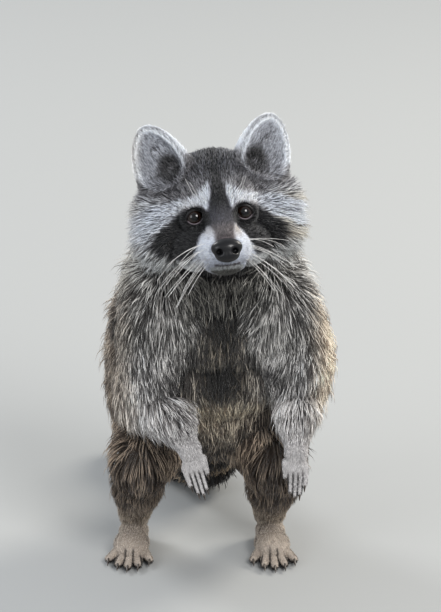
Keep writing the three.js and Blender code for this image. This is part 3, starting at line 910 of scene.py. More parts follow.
def hair_colors(points, areas):
    """Pale hairs, dark hairs and the share of pale ones at points of the coat."""
    grain = lumps(points, 5, 3)
    patchy = 0.6 * lumps(points * (1, 1, 0.18), 8, 11) + 0.4 * lumps(points * (1, 1, 0.3), 20, 12)
    across, forward, up = in_frame(BODY, points).T
    head = head_hair(points, grain)
    each = [head, head, head, ear_hair(points), *body_hair(across, forward, up, patchy)]
    each += [*limb_hair(across, forward, up, patchy), *paw_hair(points), tail_hair(points, grain)]
    weights = areas / areas.sum(1)[:, None]
    pale, dark = (
        sum(weights[:, i : i + 1] * hair[part] for i, hair in enumerate(each)) for part in (0, 1)
    )
    share = sum(weights[:, i] * hair[2] for i, hair in enumerate(each))

    def weight_of(*names):
        return sum(weights[:, AREAS.index(name)] for name in names)

    # Painted shade: the creases between the limbs and the trunk are darker
    crease_shade = 4 * weight_of("arm", "forearm", "thigh") * weight_of("trunk", "neck")
    crease_shade = eased(crease_shade, 0.55, 1) * eased(forward, 15, 35) * eased(255 - up, 0, 40)
    share = share * (1 - 0.55 * crease_shade)
    pale, dark = pale * (1 - 0.3 * crease_shade)[:, None], dark * (1 - 0.4 * crease_shade)[:, None]

    # The head is a little cooler than the trunk, and the neck and arms are between the two
    cool = weight_of("head", "jaw", "ear") + 0.4 * weight_of("neck", "arm", "forearm")
    cool = (cool * fading(np.abs(across - 2), 60, 76) * eased(forward, -20, 20))[:, None]
    cast = WARM_CAST + (COOL_CAST - WARM_CAST) * np.clip(cool, 0, 1)
    return np.clip(pale * cast, 0, 1), dark * cast, np.clip(share, 0, 1)


GAP_STARTS = {"hand": 0.26, "foot": 0.34}  # as shares of the way from digit to digit


def gaps_between(name, stand, points):
    """1 in the hollows between the digits of a paw."""
    area = name.split("_")[0]
    sizes = HAND if area == "hand" else FOOT
    aside, reach, _ = in_frame(stand, points).T
    last = max(end[1] for end in paws[name][2])
    first = min(end[1] for end in paws[name][2]) - max(sizes["digits"]) * 0.35
    part = np.clip((reach - first) / (last - first), 0, 1)
    places = aside / (sizes["pitch"] * (0.9 + (0.1 + sizes["spread"]) * part))
    off = np.abs((places + 0.5) % 1 - 0.5)
    gap = eased(off, GAP_STARTS[area], GAP_STARTS[area] + 0.14)
    return gap * eased(reach, first - 2, first + 5) * (np.abs(places) < 2.2)


tail_steps = np.linalg.norm(np.diff(tail_line, axis=0), axis=1)
tail_starts = np.concatenate([[0], np.cumsum(tail_steps)])


def tail_place(points):
    """0 at the root of the tail to 1 at its end."""
    best, found = np.full(len(points), 1e9), np.zeros(len(points))
    for i, step in enumerate(tail_steps):
        way = (tail_line[i + 1] - tail_line[i]) / step
        reach = (points - tail_line[i]) @ way
        if 0 < i:
            reach = np.maximum(reach, 0)
        if i < len(tail_steps) - 1:
            reach = np.minimum(reach, step)
        away = np.linalg.norm(points - tail_line[i] - reach[:, None] * way, axis=1)
        closer = away < best
        best, found = np.where(closer, away, best), np.where(closer, tail_starts[i] + reach, found)
    return found / (tail_starts[-1] + TAIL[-1][1])


def mesh_of(name, points, triangles, material):
    """A smooth piece from points in millimetres, linked to the scene."""
    mesh = bpy.data.meshes.new(name)
    mesh.vertices.add(len(points))
    mesh.vertices.foreach_set("co", (points * MM).astype(np.float32).ravel())
    mesh.loops.add(triangles.size)
    mesh.loops.foreach_set("vertex_index", triangles.astype(np.int32).ravel())
    mesh.polygons.add(len(triangles))
    mesh.polygons.foreach_set("loop_start", np.arange(0, triangles.size, 3, dtype=np.int32))
    mesh.update(calc_edges=True)
    mesh.shade_smooth()
    mesh.materials.append(material)
    piece = bpy.data.objects.new(name, mesh)
    scene.collection.objects.link(piece)
    return piece


def paint(piece, colors):
    """Gives each vertex a colour, from sRGB."""
    layer = piece.data.attributes.new("marking", "FLOAT_COLOR", "POINT")
    linear = np.where(colors <= 0.04045, colors / 12.92, ((colors + 0.055) / 1.055) ** 2.4)
    rgba = np.concatenate([linear, np.ones((len(colors), 1))], 1)
    layer.data.foreach_set("color", rgba.astype(np.float32).ravel())


# The hide is as dark as the roots of the hair, and shows the markings where the hair is short
pale, dark, share = hair_colors(points, area_shares)
short = fading(hair_length, 3.5, 9)[:, None]
share = share[:, None]
under = dark * 0.75 * (1 - 0.3 * share) + pale * 0.3 * share
hide_color = under + short * (dark + (pale - dark) * share - under) * 0.85


def add_node(tree, kind, **values):
    """A new node with the values of its sockets, whose names have _ for a space."""
    made = tree.nodes.new(kind)
    for name, value in values.items():
        made.inputs[name.replace("_", " ")].default_value = value
    return made


def join(tree, *wires):
    """Each wire is a node, its output, another node and its input."""
    for source, output, target, entry in wires:
        tree.links.new(source.outputs[output], target.inputs[entry])


def add_texture(tree, kind, **values):
    """A texture that goes by the place on the piece."""
    texture = add_node(tree, "ShaderNodeTex" + kind, **values)
    join(tree, (add_node(tree, "ShaderNodeTexCoord"), "Object", texture, "Vector"))
    return texture


def add_bump(tree, shader, texture, output, strength, distance):
    """Roughens the surface by a texture; the distance is in metres."""
    bump = add_node(tree, "ShaderNodeBump", Strength=strength, Distance=distance)
    join(tree, (texture, output, bump, "Height"), (bump, "Normal", shader, "Normal"))


def add_marking(tree):
    """The colours painted on the vertices."""
    marking = add_node(tree, "ShaderNodeAttribute")
    marking.attribute_name = "marking"
    return marking


def add_product(tree):
    """A node that multiplies colour A by B."""
    product = add_node(tree, "ShaderNodeMix", Factor=1)
    product.data_type, product.blend_type = "RGBA", "MULTIPLY"
    return product


skin_material, tree, shader = plain_material("hide", (0.3, 0.27, 0.25), 0.85, 0.2)
fine = add_texture(tree, "Noise", Scale=900, Detail=3)
tone = add_node(tree, "ShaderNodeMapRange", To_Min=0.6, To_Max=1.25)
shaded = add_product(tree)
join(tree, (fine, "Fac", tone, "Value"), (tone, "Result", shaded, "B"))
join(tree, (add_marking(tree), "Color", shaded, "A"), (shaded, "Result", shader, "Base Color"))
add_bump(tree, shader, fine, "Fac", 0.6, 0.0006)

skin = mesh_of("skin", points, triangles, skin_material)
paint(skin, hide_color)
bpy.context.view_layer.objects.active = skin
skin.select_set(True)
bpy.ops.object.mode_set(mode="EDIT")
bpy.ops.mesh.select_all(action="SELECT")
bpy.ops.uv.smart_project(angle_limit=math.radians(66), island_margin=0.001)  # cuts it flat
bpy.ops.object.mode_set(mode="OBJECT")
skin.select_set(False)
skin.data.uv_layers.active.name = "OFBake"
hide_uv = np.empty(triangles.size * 2, np.float32)
skin.data.uv_layers.active.data.foreach_get("uv", hide_uv)
hide_uv = hide_uv.reshape(-1, 3, 2)

kept_nodes = ("eye_", "nose", "hand_claw", "foot_claw")
flesh = [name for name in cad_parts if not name.startswith(kept_nodes)]
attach(skin, "root")
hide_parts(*flesh)

# ------------------------------------------------------------------------------------- coat
# The hair, as solid locks that taper to a point: a buried root, one or two three-sided rings
# and a tip. Locks stand at the coat's depth over the hide and lean the way the coat lies; near
# ones draw together at their tips. Their roots are dark, and each lock is mostly pale or dark.
BURIED = 0.8
LOCK_WIDTH, LOCK_WIDENS = 0.24, 0.019  # and how much wider it is for each millimetre of length
LENGTH_SPREAD, DEPTH_SPREAD = (0.66, 1.12), (0.62, 1.08)
LIE_SPREAD, TIP_SPREAD = 0.24, 0.045  # radians, and a share of the length
SPINE = {1: ((0.42, 0.5),), 2: ((0.36, 0.5), (0.72, 0.34))}  # how far up each ring is, and its size
ARCH, RIDGE = 0.42, 0.55  # how much a lock arches out, and the height of its ridge
SIDES = ((0, 1), (1, 2), (2, 0))
WISPS = 0.2  # one lock in ten stands out by up to this share of its length
GUIDES = 8  # locks that draw together
PATCH = 0.003  # size of each lock's patch on the map of the hide

corners = points[triangles]
face_areas = np.cross(corners[:, 1] - corners[:, 0], corners[:, 2] - corners[:, 0])
face_areas = np.linalg.norm(face_areas, axis=1)


def new_group(name, kind, *sockets):
    """A node group with the nodes at its start and its end. Sockets: name, kind, way."""
    group = bpy.data.node_groups.new(name, kind)
    for label, socket, way in sockets:
        group.interface.new_socket(name=label, in_out=way, socket_type="NodeSocket" + socket)
    return group, group.nodes.new("NodeGroupInput"), group.nodes.new("NodeGroupOutput")


# Fine light and dark along the hairs, for every coat
grain_group, start, end = new_group(
    "hair_grain",
    "ShaderNodeTree",
    ("Color", "Color", "INPUT"),
    ("Grain", "Float", "INPUT"),
    ("Contrast", "Float", "INPUT"),
    ("Color", "Color", "OUTPUT"),
)
noise = add_texture(grain_group, "Noise", Detail=2)
low, high, tone = (grain_group.nodes.new("ShaderNodeMath") for _ in range(3))
low.operation, high.operation, tone.operation = "SUBTRACT", "MULTIPLY", "ADD"
low.inputs[1].default_value, tone.inputs[1].default_value = 0.5, 1
toned = add_product(grain_group)
join(grain_group, (start, "Grain", noise, "Scale"), (start, "Contrast", high, 1))
join(grain_group, (noise, "Fac", low, 0), (low, "Value", high, 0), (high, "Value", tone, 0))
join(grain_group, (start, "Color", toned, "A"), (tone, "Value", toned, "B"))
join(grain_group, (toned, "Result", end, "Color"))


def coat_material(name, grain, contrast, roughness):
    material, tree, shader = plain_material(name, (0.4, 0.38, 0.36), roughness, 0.25)
    hairs = tree.nodes.new("ShaderNodeGroup")
    hairs.node_tree = grain_group
    hairs.inputs["Grain"].default_value = grain
    hairs.inputs["Contrast"].default_value = contrast
    join(tree, (add_marking(tree), "Color", hairs, "Color"), (hairs, "Color", shader, "Base Color"))
    shader.inputs["Sheen Weight"].default_value = 0.15
    shader.inputs["Sheen Roughness"].default_value = 0.4
    return material


COATS = {
    "long_fur": coat_material("long_hair", 700, 0.7, 0.62),
    "short_fur": coat_material("short_hair", 1300, 0.6, 0.6),
    "tail_fur": coat_material("tail_hair", 700, 0.6, 0.65),
}


def area_of(*names):
    """How much of the hide at each point is of the areas named."""
    return sum(area_shares[:, AREAS.index(name)] for name in names)


def coat_distance(points):
    return distance_and_shares(points, 1)[0]


def lock_faces(rings):
    """Triangles of one lock: its root is point 0, its rings have three points, its tip is last."""
    faces = [(1 + j, 1 + i, 0) for i, j in SIDES]
    for row in range(1, rings):
        low, up = 1 + 3 * (row - 1), 1 + 3 * row
        for i, j in SIDES:
            faces += [(low + i, low + j, up + j), (low + i, up + j, up + i)]
    last = 1 + 3 * rings
    return np.array(faces + [(last - 3 + i, last - 3 + j, last) for i, j in SIDES])


def lock_colors(place, areas, long, nearest, rng):
    """Colours of the roots, of two places up the locks, and of the tips."""
    count = len(place)
    pale, dark, share = hair_colors(place, areas)
    tint = rng.normal(0, 1, count)[nearest]
    mottle = 0.15 + 0.1 * eased(long, 8, 24)
    level = np.clip(share + mottle * tint * (share * (1 - share) * 4), 0, 1)
    level = 0.3 * level + 0.7 * (rng.random(count) < level) + rng.normal(0, 0.07, count)
    main = dark + (pale - dark) * np.clip(level, 0, 1)[:, None]
    main = main * (1 + 0.06 * rng.normal(0, 1, count))[:, None]
    end = main + (pale - main) * (0.5 * rng.random(count) * share)[:, None]
    bottom = main + eased(long, 4, 12)[:, None] * (dark * 0.6 - main) * 0.8
    return bottom, bottom + (main - bottom) * 0.6, main, end


def grow(name, slot, where, count, rings, seed, clump):
    """Grows a piece of coat: a count of locks over the hide where 'where' is above nothing."""
    rng = np.random.default_rng(seed)
    width = LOCK_WIDTH + LOCK_WIDENS * hair_length
    weight = np.maximum(where, 0) / (width * hair_length) ** 0.85
    weight[where < 0.02] = 0
    chance = np.cumsum(face_areas * weight[triangles].mean(1))
    picks = np.searchsorted(chance, (np.arange(count) + rng.random(count)) / count * chance[-1])
    picks = np.minimum(picks, len(triangles) - 1)
    a, b = np.sqrt(rng.random(count)), rng.random(count)
    part = np.stack([1 - a, a * (1 - b), a * b], 1)

    def on_roots(values):
        found = values[triangles[picks]]
        return (found * part.reshape(count, 3, *[1] * (found.ndim - 2))).sum(1)

    root, normal = on_roots(points), on_roots(normals)
    high, long, wide = on_roots(coat_depth), on_roots(hair_length), on_roots(width)
    areas = on_roots(area_shares)
    uv = (hide_uv[picks] * part[..., None]).sum(1)
    normal = unit(normal)
    way = flattened(on_roots(lie), normal)
    side = np.cross(way, normal)
    turn = rng.normal(0, LIE_SPREAD, count)[:, None]
    way = way * np.cos(turn) + side * np.sin(turn)
    long = long * rng.uniform(*LENGTH_SPREAD, count)
    free = on_roots(loose_hair) * rng.uniform(0.2, 1, count)
    high = high * rng.uniform(*DEPTH_SPREAD, count) + free
    run = np.sqrt(np.maximum(long**2 - high**2, (0.45 * long) ** 2))
    tip = root + way * run[:, None] + normal * high[:, None]

    # The tips of near locks are drawn together, and none stands much over the coat
    guide = rng.permutation(count)[: max(1, count // GUIDES)]
    near = kdtree.KDTree(len(guide))
    for i, place in enumerate(root[guide]):
        near.insert(place, i)
    near.balance()
    nearest = guide[[near.find(place)[1] for place in root]]
    pull = clump * rng.uniform(0.5, 1.2, count)[:, None]
    pull = pull * np.exp(-np.linalg.norm(root - root[nearest], axis=1) / long)[:, None]
    tip += (tip[nearest] - tip) * pull
    slack = np.abs(rng.normal(0, TIP_SPREAD, count)) * long
    slack = slack + WISPS * (rng.random(count) < 0.1) * long
    for _ in range(2):
        outside = coat_distance(tip)
        over = np.flatnonzero(outside > slack + free)
        push = np.minimum(outside[over] - (slack + free)[over], long[over] * 0.4)
        tip[over] -= slope_of(coat_distance, tip[over], outside[over]) * push[:, None]
    colors = lock_colors(root + (tip - root) * 0.55, areas, long, nearest, rng)

    rows = [(root - normal * BURIED - way * 0.3)[:, None]]
    arch = normal * (high * ARCH)[:, None]
    side = unit(np.cross(tip - root, normal))
    for part_up, thick in SPINE[rings]:
        middle = root + (tip - root) * part_up + arch * 4 * part_up * (1 - part_up)
        half, lift = side * (wide * thick)[:, None], normal * (wide * thick * RIDGE)[:, None]
        rows.append(np.stack([middle + lift, middle + half - lift, middle - half - lift], 1))
    rows.append(tip[:, None])
    locks = np.concatenate(rows, 1)
    locks[..., 2] = np.maximum(locks[..., 2], 0.35)  # over the floor
    faces = np.arange(count)[:, None, None] * locks.shape[1] + lock_faces(rings)
    all_faces = faces.reshape(-1, 3)
    piece = mesh_of(name, locks.reshape(-1, 3), all_faces, COATS[slot])

    bottom, lower, upper, end = colors
    between = [lower] * 3 + [upper] * 3 if rings == 2 else [lower * 0.4 + upper * 0.6] * 3
    shown = np.clip(np.stack([bottom, *between, end], 1), 0.02, 0.99)
    paint(piece, shown.reshape(-1, 3))
    spread = [(0, -0.5)]
    for row in range(rings):
        spread += [(x, (row + 1) / (rings + 1) - 0.5) for x in (-0.5, 0.0, 0.5)]
    spread = np.array(spread + [(0, 0.5)]) * PATCH
    corner_uv = (uv[:, None] + spread).reshape(-1, 2)[all_faces.ravel()]
    layer = piece.data.uv_layers.new(name="OFBake")
    layer.data.foreach_set("uv", np.clip(corner_uv, 0, 1).astype(np.float32).ravel())
    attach(piece, "root")


# Where hair grows on the head: not on the eyes or the pad of the nose
face = eased(forward, -52, -40)
eye_gap = np.minimum(*[np.hypot(across - sign * EYE_SPREAD, up * 1.08) for sign in (1, -1)])
nose_gap = np.linalg.norm((head_place - (0, 43, -28.5)) / (12.5, 9, 10), axis=1)
bare = (eye_gap < 7.4) & (forward > -16) & (forward < 10) | (nose_gap < 1)
on_head = area_of("head", "jaw", "lids") * (1.0 - bare)

# How many millimetres loose hair stands out: at the left flank, the nape's sides, the cheeks, the
# crown, the ears, the elbows and the left temple
belly, left = eased(body_forward, 0, 12), eased(body_across, -8, 4)
sleeve_end = 126 + 10 * left
loose_hair = 10 * eased(body_across, 52, 70) * eased(body_up, 174, 190)
loose_hair *= fading(body_up, 214, 232)
behind = eased(-forward, 30, 52) * fading(up, -14, 12) * eased(wide, 24, 44)
loose_hair += 8 * on_head * behind
loose_hair += on_head * 2.5 * eased(wide, 40, 56)
loose_hair += on_head * 3 * eased(up, 34, 50) * fading(wide, 24, 40)
loose_hair += on_ear * (1.2 + 2 * ear_rim)
loose_hair += 6 * area_of("forearm") * eased(body_up, sleeve_end, sleeve_end + 18)
temple = eased(up, 0, 8) * fading(up, 18, 28)
loose_hair += on_head * 4 * eased(across, 42, 56) * temple

grow("coat_face", "short_fur", on_head * face, 32500, 1, 101, clump=0.3)
grow("coat_crown", "long_fur", on_head * (1 - face), 12500, 2, 102, clump=0.45)
grow("coat_ears", "short_fur", area_of("ear") * (1 + 1.5 * ear_rim), 14500, 1, 103, clump=0.3)
grow("coat_neck", "long_fur", area_of("neck"), 14000, 2, 104, clump=0.7)
grow("coat_chest", "long_fur", area_of("trunk") * belly, 14000, 2, 105, clump=0.7)
grow("coat_back", "long_fur", area_of("trunk") * (1 - belly), 14500, 2, 106, clump=0.65)
grow("coat_arm_left", "long_fur", area_of("arm") * left, 7000, 2, 107, clump=0.7)
grow("coat_arm_right", "long_fur", area_of("arm") * (1 - left), 7000, 2, 108, clump=0.7)
grow("coat_legs", "long_fur", area_of("thigh", "shank"), 10500, 2, 109, clump=0.6)
grow("coat_forearms", "long_fur", area_of("forearm"), 5200, 2, 110, clump=0.6)
grow("coat_paws", "short_fur", area_of("hand", "foot"), 12500, 1, 111, clump=0.2)
grow("coat_tail", "tail_fur", area_of("tail"), 10500, 2, 112, clump=0.5)

# ------------------------------------------------------------------------------------- eyes
# Dark brown eyes with a round pupil, wet and glossy, that bulge a little at the cornea. Each
# ball is a net of rings round the line of sight. A bare black rim edges the lids round it,
# with a pale painted reflection along the inner edge of its lower part.
EYE_RINGS, EYE_SIDES = 40, 56
IRIS, PUPIL = 5.6, 3.1  # radii
CORNEA, CORNEA_ANGLE = 0.55, 0.62  # how far the front of the eye bulges, and how wide, in radians
EYE_LOOKS_OUT = 3  # degrees each eye turns outward
IRIS_DARK, IRIS_STREAKS = np.array((0.11, 0.075, 0.06)), (0.07, 0.045, 0.032)
EYE_WHITE = np.array((0.14, 0.105, 0.10))
LID_EDGE, LID_HALF = 0.75, (6.45, 5.7)  # thickness of the rim, half width and half height
LID_OVER_EYE, LID_PINCH, LID_SLANT = 0.45, 0.10, 0.10  # how far it stands over the ball; corners
LID_STATIONS, LID_SIDES = 72, 10
# The second colour is a painted reflection, added along the inner edge of the lower lid
LID_COLOR, LID_PAINTED_SHINE = np.array((0.09, 0.08, 0.085)), (0.42, 0.385, 0.41)


def tube_faces(rows, sides, closed=False):
    """Triangles of a tube of rings, joined end to end if closed, otherwise with filled ends."""
    faces = []
    for row in range(rows if closed else rows - 1):
        low, up = row * sides, (row + 1) % rows * sides
        for i in range(sides):
            j = (i + 1) % sides
            faces += [(low + i, low + j, up + j), (low + i, up + j, up + i)]
    if not closed:
        end = (rows - 1) * sides
        faces += [(0, i + 1, i) for i in range(1, sides - 1)]
        faces += [(end, end + i, end + i + 1) for i in range(1, sides - 1)]
    return np.array(faces)


def all_out_of(stand, places):
    """An array of places in a frame, in part axes."""
    return (places * (1, -1, 1)) @ stand[0].T + stand[1]


eye_material, tree, shader = plain_material("wet_eye", (0.02, 0.015, 0.012), 0.12, 0.0)
join(tree, (add_marking(tree), "Color", shader, "Base Color"))
shader.inputs["Coat Weight"].default_value = 0.85
shader.inputs["Coat Roughness"].default_value = 0.02

lid_material, tree, shader = plain_material("lid_skin", (0.010, 0.009, 0.010), 0.42, 0.3)
join(tree, (add_marking(tree), "Color", shader, "Base Color"))
add_bump(tree, shader, add_texture(tree, "Noise", Scale=1400), "Fac", 0.4, 0.0003)

for side, sign in (("left", 1), ("right", -1)):
    angle = np.linspace(0.004, np.pi - 0.004, EYE_RINGS)[:, None]
    turn = np.linspace(0, 2 * np.pi, EYE_SIDES, endpoint=False)[None]
    radius = EYE_RADIUS + CORNEA * np.exp(-((angle / CORNEA_ANGLE) ** 4))
    aside, sight = radius * np.sin(angle) * np.cos(turn), radius * np.cos(angle) + 0 * turn
    out = math.radians(sign * EYE_LOOKS_OUT)
    across = aside * math.cos(out) + sight * math.sin(out) + sign * EYE_SPREAD
    ahead = sight * math.cos(out) - aside * math.sin(out) - EYE_DEPTH
    ball = np.stack([across, ahead, radius * np.sin(angle) * np.sin(turn)], -1)
    ball = all_out_of(HEAD, ball.reshape(-1, 3))
    from_axis = (EYE_RADIUS * np.sin(np.minimum(angle, 1.57)) + 0 * turn).ravel()
    streaks = (0.5 + 0.5 * np.sin(turn * 23 + 3 * np.sin(turn * 5)) + 0 * angle).ravel()[:, None]
    iris = IRIS_DARK + streaks * IRIS_STREAKS
    iris = iris * (1 - 0.6 * eased(from_axis, PUPIL, IRIS))[:, None]
    color = iris + eased(from_axis, IRIS - 0.5, IRIS + 0.3)[:, None] * (EYE_WHITE - iris)
    color = color * (0.06 + 0.94 * eased(from_axis, PUPIL - 0.25, PUPIL + 0.25)[:, None])
    eye = mesh_of("eye_ball_" + side, ball, tube_faces(EYE_RINGS, EYE_SIDES), eye_material)
    paint(eye, color)
    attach(eye, "root")
    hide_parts("eye_" + side)

    turn = np.linspace(0, 2 * np.pi, LID_STATIONS, endpoint=False)
    pinch = 1 + LID_PINCH * np.abs(np.cos(turn)) ** 6
    across = LID_HALF[0] * np.cos(turn) * pinch
    up = LID_HALF[1] * np.sin(turn) - LID_SLANT * across * sign
    ahead = (EYE_RADIUS + LID_OVER_EYE) ** 2 - across**2 - up**2
    ahead = np.sqrt(np.maximum(ahead, 4)) - EYE_DEPTH
    line = np.stack([across + sign * EYE_SPREAD, ahead, up], 1)
    outward = [across / LID_HALF[0], np.full(LID_STATIONS, 0.35), up / LID_HALF[1]]
    outward = unit(np.stack(outward, 1))
    over = np.cross(unit(np.roll(line, -1, 0) - np.roll(line, 1, 0)), outward)
    thick = LID_EDGE * (1 + 0.35 * np.clip(np.sin(turn), 0, 1))
    spin = np.linspace(0, 2 * np.pi, LID_SIDES, endpoint=False)
    tube = np.cos(spin)[:, None] * outward[:, None] * 1.15 + np.sin(spin)[:, None] * over[:, None]
    tube = all_out_of(HEAD, (line[:, None] + thick[:, None, None] * tube).reshape(-1, 3))
    net = tube_faces(LID_STATIONS, LID_SIDES, closed=True)
    lid = mesh_of("lid_rim_" + side, tube, net, lid_material)
    # Painted reflection: paler along the inner edge of the lower lid, where a wet rim would shine
    painted_shine = eased(-np.cos(spin)[None], -0.3, 0.5) * eased(-np.sin(turn)[:, None], 0.0, 0.6)
    paint(lid, LID_COLOR + painted_shine.reshape(-1, 1) * LID_PAINTED_SHINE)
    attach(lid, "root")

# ------------------------------------------------------------------------------------- nose
# A bare black pad, pebbled and moist, with comma-shaped nostrils that run out to the sides and
# a groove down the middle. It is the level surface of the two balls of its solid, cut for these.
NOSE = ((0, 43, -26.5), (12.2, 7.6, 7.3)), ((0, 43, -32.6), (9.2, 7.4, 5.4))
NOSE_SOFTNESS, NOSE_CUT, NOSE_STEP = 1.2, 0.35, 0.55
NOSE_BOX = (-14, 14), (34, 53), (-41, -17)
NOSTRILS = (
    ((5.9, 51.5, -29.6), (6.6, 45, -29.4), 2.8, 1.8),
    ((7.0, 50, -30.6), (12.6, 43.5, -32.4), 1.5, 1.2),
)
GROOVE = ((0, 52.2, -29), (0, 49.6, -39), 0.9, 0.7)


def nose_distance(place):
    """Distance outside the pad, for places in the head's frame."""
    parts = [oval_distance(place - middle, half) for middle, half in NOSE]
    distance = -NOSE_SOFTNESS * np.log(sum(np.exp(-part / NOSE_SOFTNESS) for part in parts))
    folded = np.stack([np.abs(place[..., 0]), place[..., 1], place[..., 2]], -1)
    for start, end, *radii in (*NOSTRILS, GROOVE):
        cut = bone_distance((np.array(start, float), np.array(end, float), *radii), folded)
        distance = NOSE_CUT * np.logaddexp(distance / NOSE_CUT, -cut / NOSE_CUT)
    return distance


axes = [np.arange(low, high, NOSE_STEP) for low, high in NOSE_BOX]
place = np.stack(np.meshgrid(*axes, indexing="ij"), -1)
pad, pad_faces = level_surface(nose_distance(place), axes, 3)
pad = all_out_of(HEAD, settle(nose_distance, pad)[0])
pad_faces = pad_faces[:, ::-1].copy()  # the head's frame is a mirrored one

nose_material, tree, shader = plain_material("nose_leather", (0.006, 0.006, 0.007), 0.36, 0.14)
pebbles = add_texture(tree, "Voronoi", Scale=1100)
pebbles.feature = "DISTANCE_TO_EDGE"
tone = add_node(tree, "ShaderNodeMapRange", From_Max=0.25, To_Min=0.48, To_Max=0.32)
join(tree, (pebbles, "Distance", tone, "Value"), (tone, "Result", shader, "Roughness"))
add_bump(tree, shader, pebbles, "Distance", 0.5, 0.00025)
shader.inputs["Coat Weight"].default_value = 0.3
shader.inputs["Coat Roughness"].default_value = 0.16
nose = mesh_of("nose_pad", pad, pad_faces, nose_material)
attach(nose, "root")
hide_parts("nose")

# --------------------------------------------------------------------------------- whiskers
# Stiff white hairs in rows on the lips, longest at the back, and a few over the eyes. They
# follow curved lines with a round section that thins to nothing.
WHISKER_ROWS, WHISKER_POINTS, WHISKER_SIDES = 4, 9, 5
WHISKER_THICKNESS = 0.00015  # radius at the root, in metres
rng = np.random.default_rng(31)
starts = kdtree.KDTree(len(skin.data.vertices))
for vertex in skin.data.vertices:
    starts.insert(vertex.co, vertex.index)
starts.balance()
whisker_lines = []


def add_whisker(place, way, length, drop):
    """place and way are in the head's frame; the root goes to the nearest point of the hide."""
    root = np.array(starts.find(out_of(HEAD, place) * MM)[0]) / MM
    share = np.linspace(0, 1, WHISKER_POINTS)[:, None]
    way = np.array(way, float) / np.linalg.norm(way)
    local = way * length * share + np.array([0, -0.35, -1]) * drop * share**2
    whisker_lines.append(all_out_of((HEAD[0], root), local))


for sign in (1, -1):
    for row in range(WHISKER_ROWS):
        for column in range(4 if row in (1, 2) else 3):
            place = (sign * (13 + 2.2 * column), 32 - 5.5 * column, -23 - 4.1 * row)
            raised = (0.10 - 0.34 * row) if sign > 0 else (-0.12 - 0.26 * row)
            way = (sign, 0.18 - 0.16 * column, raised + rng.normal(0, 0.07))
            add_whisker(place, way, rng.uniform(22, 34) + 2.5 * column, rng.uniform(5, 12))
    for place in ((12, -2, 12), (15, -3, 13.5)):
        way = (sign * 0.5, 0.45, 1)
        add_whisker((sign * place[0], *place[1:]), way, rng.uniform(13, 17), -2)
    add_whisker((sign * 38, -14, -30), (sign, 0.3, -0.7), 24, 4)

tree, start, finish = new_group(
    "whiskers",
    "GeometryNodeTree",
    ("Lines", "Geometry", "INPUT"),
    ("Thickness", "Float", "INPUT"),
    ("Sides", "Int", "INPUT"),
    ("Material", "Material", "INPUT"),
    ("Whiskers", "Geometry", "OUTPUT"),
)
curves = add_node(tree, "GeometryNodeMeshToCurve")
along = add_node(tree, "GeometryNodeSplineParameter")
taper = add_node(tree, "ShaderNodeMapRange", To_Min=1, To_Max=0.12)
radius = add_node(tree, "GeometryNodeSetCurveRadius")
profile = add_node(tree, "GeometryNodeCurvePrimitiveCircle")
tubes = add_node(tree, "GeometryNodeCurveToMesh", Fill_Caps=True)
smooth = add_node(tree, "GeometryNodeSetShadeSmooth")
real = add_node(tree, "GeometryNodeRealizeInstances")
dressed = add_node(tree, "GeometryNodeSetMaterial")
join(
    tree,
    (start, "Lines", curves, "Mesh"),
    (along, "Factor", taper, "Value"),
    (curves, "Curve", radius, "Curve"),
    (taper, "Result", radius, "Radius"),
    (start, "Thickness", profile, "Radius"),
    (start, "Sides", profile, "Resolution"),
    (radius, "Curve", tubes, "Curve"),
    (profile, "Curve", tubes, "Profile Curve"),
    (tubes, "Mesh", smooth, "Geometry"),
    (smooth, "Geometry", real, "Geometry"),
    (real, "Geometry", dressed, "Geometry"),
    (start, "Material", dressed, "Material"),
    (dressed, "Geometry", finish, "Whiskers"),
)


def add_ramp(tree, shader, texture, *stops):
    """Colours the surface by a texture, between two stops of a place and a colour."""
    ramp = add_node(tree, "ShaderNodeValToRGB")
    for stop, (place, color) in zip(ramp.color_ramp.elements, stops):
        stop.position, stop.color = place, (*color, 1)
    join(tree, (texture, "Fac", ramp, "Fac"), (ramp, "Color", shader, "Base Color"))


whisker_material, shade, shader = plain_material("whisker_hair", (0.82, 0.81, 0.79), 0.35, 0.5)
grain = add_texture(shade, "Noise", Scale=260)
add_ramp(shade, shader, grain, (0.3, (0.42, 0.40, 0.38)), (0.6, (0.80, 0.79, 0.77)))

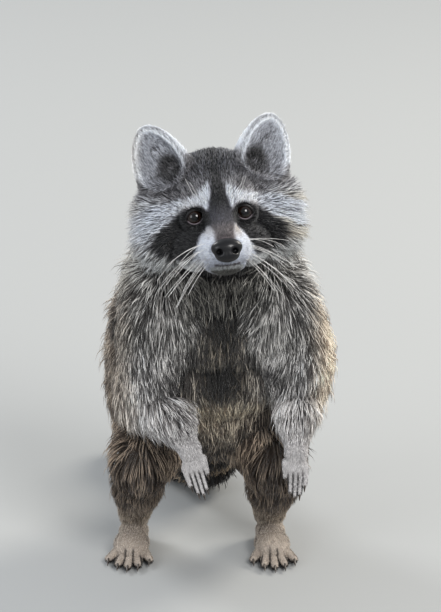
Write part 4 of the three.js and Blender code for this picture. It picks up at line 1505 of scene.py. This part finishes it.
lines_mesh = bpy.data.meshes.new("whisker_lines")
whisker_starts = range(0, len(whisker_lines) * WHISKER_POINTS, WHISKER_POINTS)
steps = [(first + j, first + j + 1) for first in whisker_starts for j in range(WHISKER_POINTS - 1)]
lines_mesh.from_pydata((np.concatenate(whisker_lines) * MM).tolist(), steps, [])
drawn = bpy.data.objects.new("whisker_lines", lines_mesh)
scene.collection.objects.link(drawn)
modifier = drawn.modifiers.new("whiskers", "NODES")
modifier.node_group = tree
inputs = {
    item.name: item.identifier
    for item in tree.interface.items_tree
    if item.item_type == "SOCKET" and item.in_out == "INPUT"
}
modifier[inputs["Thickness"]] = WHISKER_THICKNESS
modifier[inputs["Sides"]] = WHISKER_SIDES
modifier[inputs["Material"]] = whisker_material
evaluated = drawn.evaluated_get(bpy.context.evaluated_depsgraph_get())
whisker_mesh = bpy.data.meshes.new_from_object(evaluated)
whisker_mesh.name = "whiskers"
bpy.data.objects.remove(drawn)
whiskers = bpy.data.objects.new("whiskers", whisker_mesh)
scene.collection.objects.link(whiskers)
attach(whiskers, "root")

# ------------------------------------------------------------------------------------ claws
# Dark horn, curved down and flattened from side to side, one at the end of each digit.
CLAW_RADIUS, CLAW_DROP, CLAW_ROOTED = 1.55, 2.4, 2.4
CLAW_STATIONS, CLAW_SIDES = 9, 10
CLAW_FLAT, CLAW_DEEP = 0.72, 0.35
horn_material, tree, shader = plain_material("horn", (0.05, 0.04, 0.035), 0.34, 0.5)
grain = add_texture(tree, "Noise", Scale=500, Detail=3)
add_ramp(tree, shader, grain, (0.3, (0.018, 0.014, 0.012)), (0.75, (0.095, 0.075, 0.06)))
add_bump(tree, shader, grain, "Fac", 0.3, 0.0002)

for name, (stand, length, ends) in paws.items():
    area, side = name.split("_")
    share = np.linspace(0, 1, CLAW_STATIONS)
    thick = CLAW_RADIUS * np.sqrt(1 - share**1.5) * (1 - 0.25 * share)
    thick[-1] = 0.06
    spin = np.linspace(0, 2 * np.pi, CLAW_SIDES, endpoint=False)
    aside, over = thick[:, None] * np.cos(spin), thick[:, None] * np.sin(spin)
    reach = (share * length - CLAW_ROOTED)[:, None] + CLAW_DEEP * over
    claw = [aside * CLAW_FLAT, reach, over - (CLAW_DROP * share**2)[:, None]]
    claw = np.stack(claw, -1).reshape(-1, 3)
    net = tube_faces(CLAW_STATIONS, CLAW_SIDES)[:, ::-1]
    claws = all_out_of(stand, np.concatenate([claw + tip for tip in ends]))
    claws[:, 2] = np.maximum(claws[:, 2], 0.15)
    faces = np.concatenate([net + i * len(claw) for i in range(len(ends))])
    piece = mesh_of(area + "_claws_" + side, claws, faces, horn_material)
    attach(piece, "root")
    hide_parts(*[f"{area}_claw_{i + 1}_{side}" for i in range(len(ends))])

# -------------------------------------------------------------------------------------- end
low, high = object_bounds()
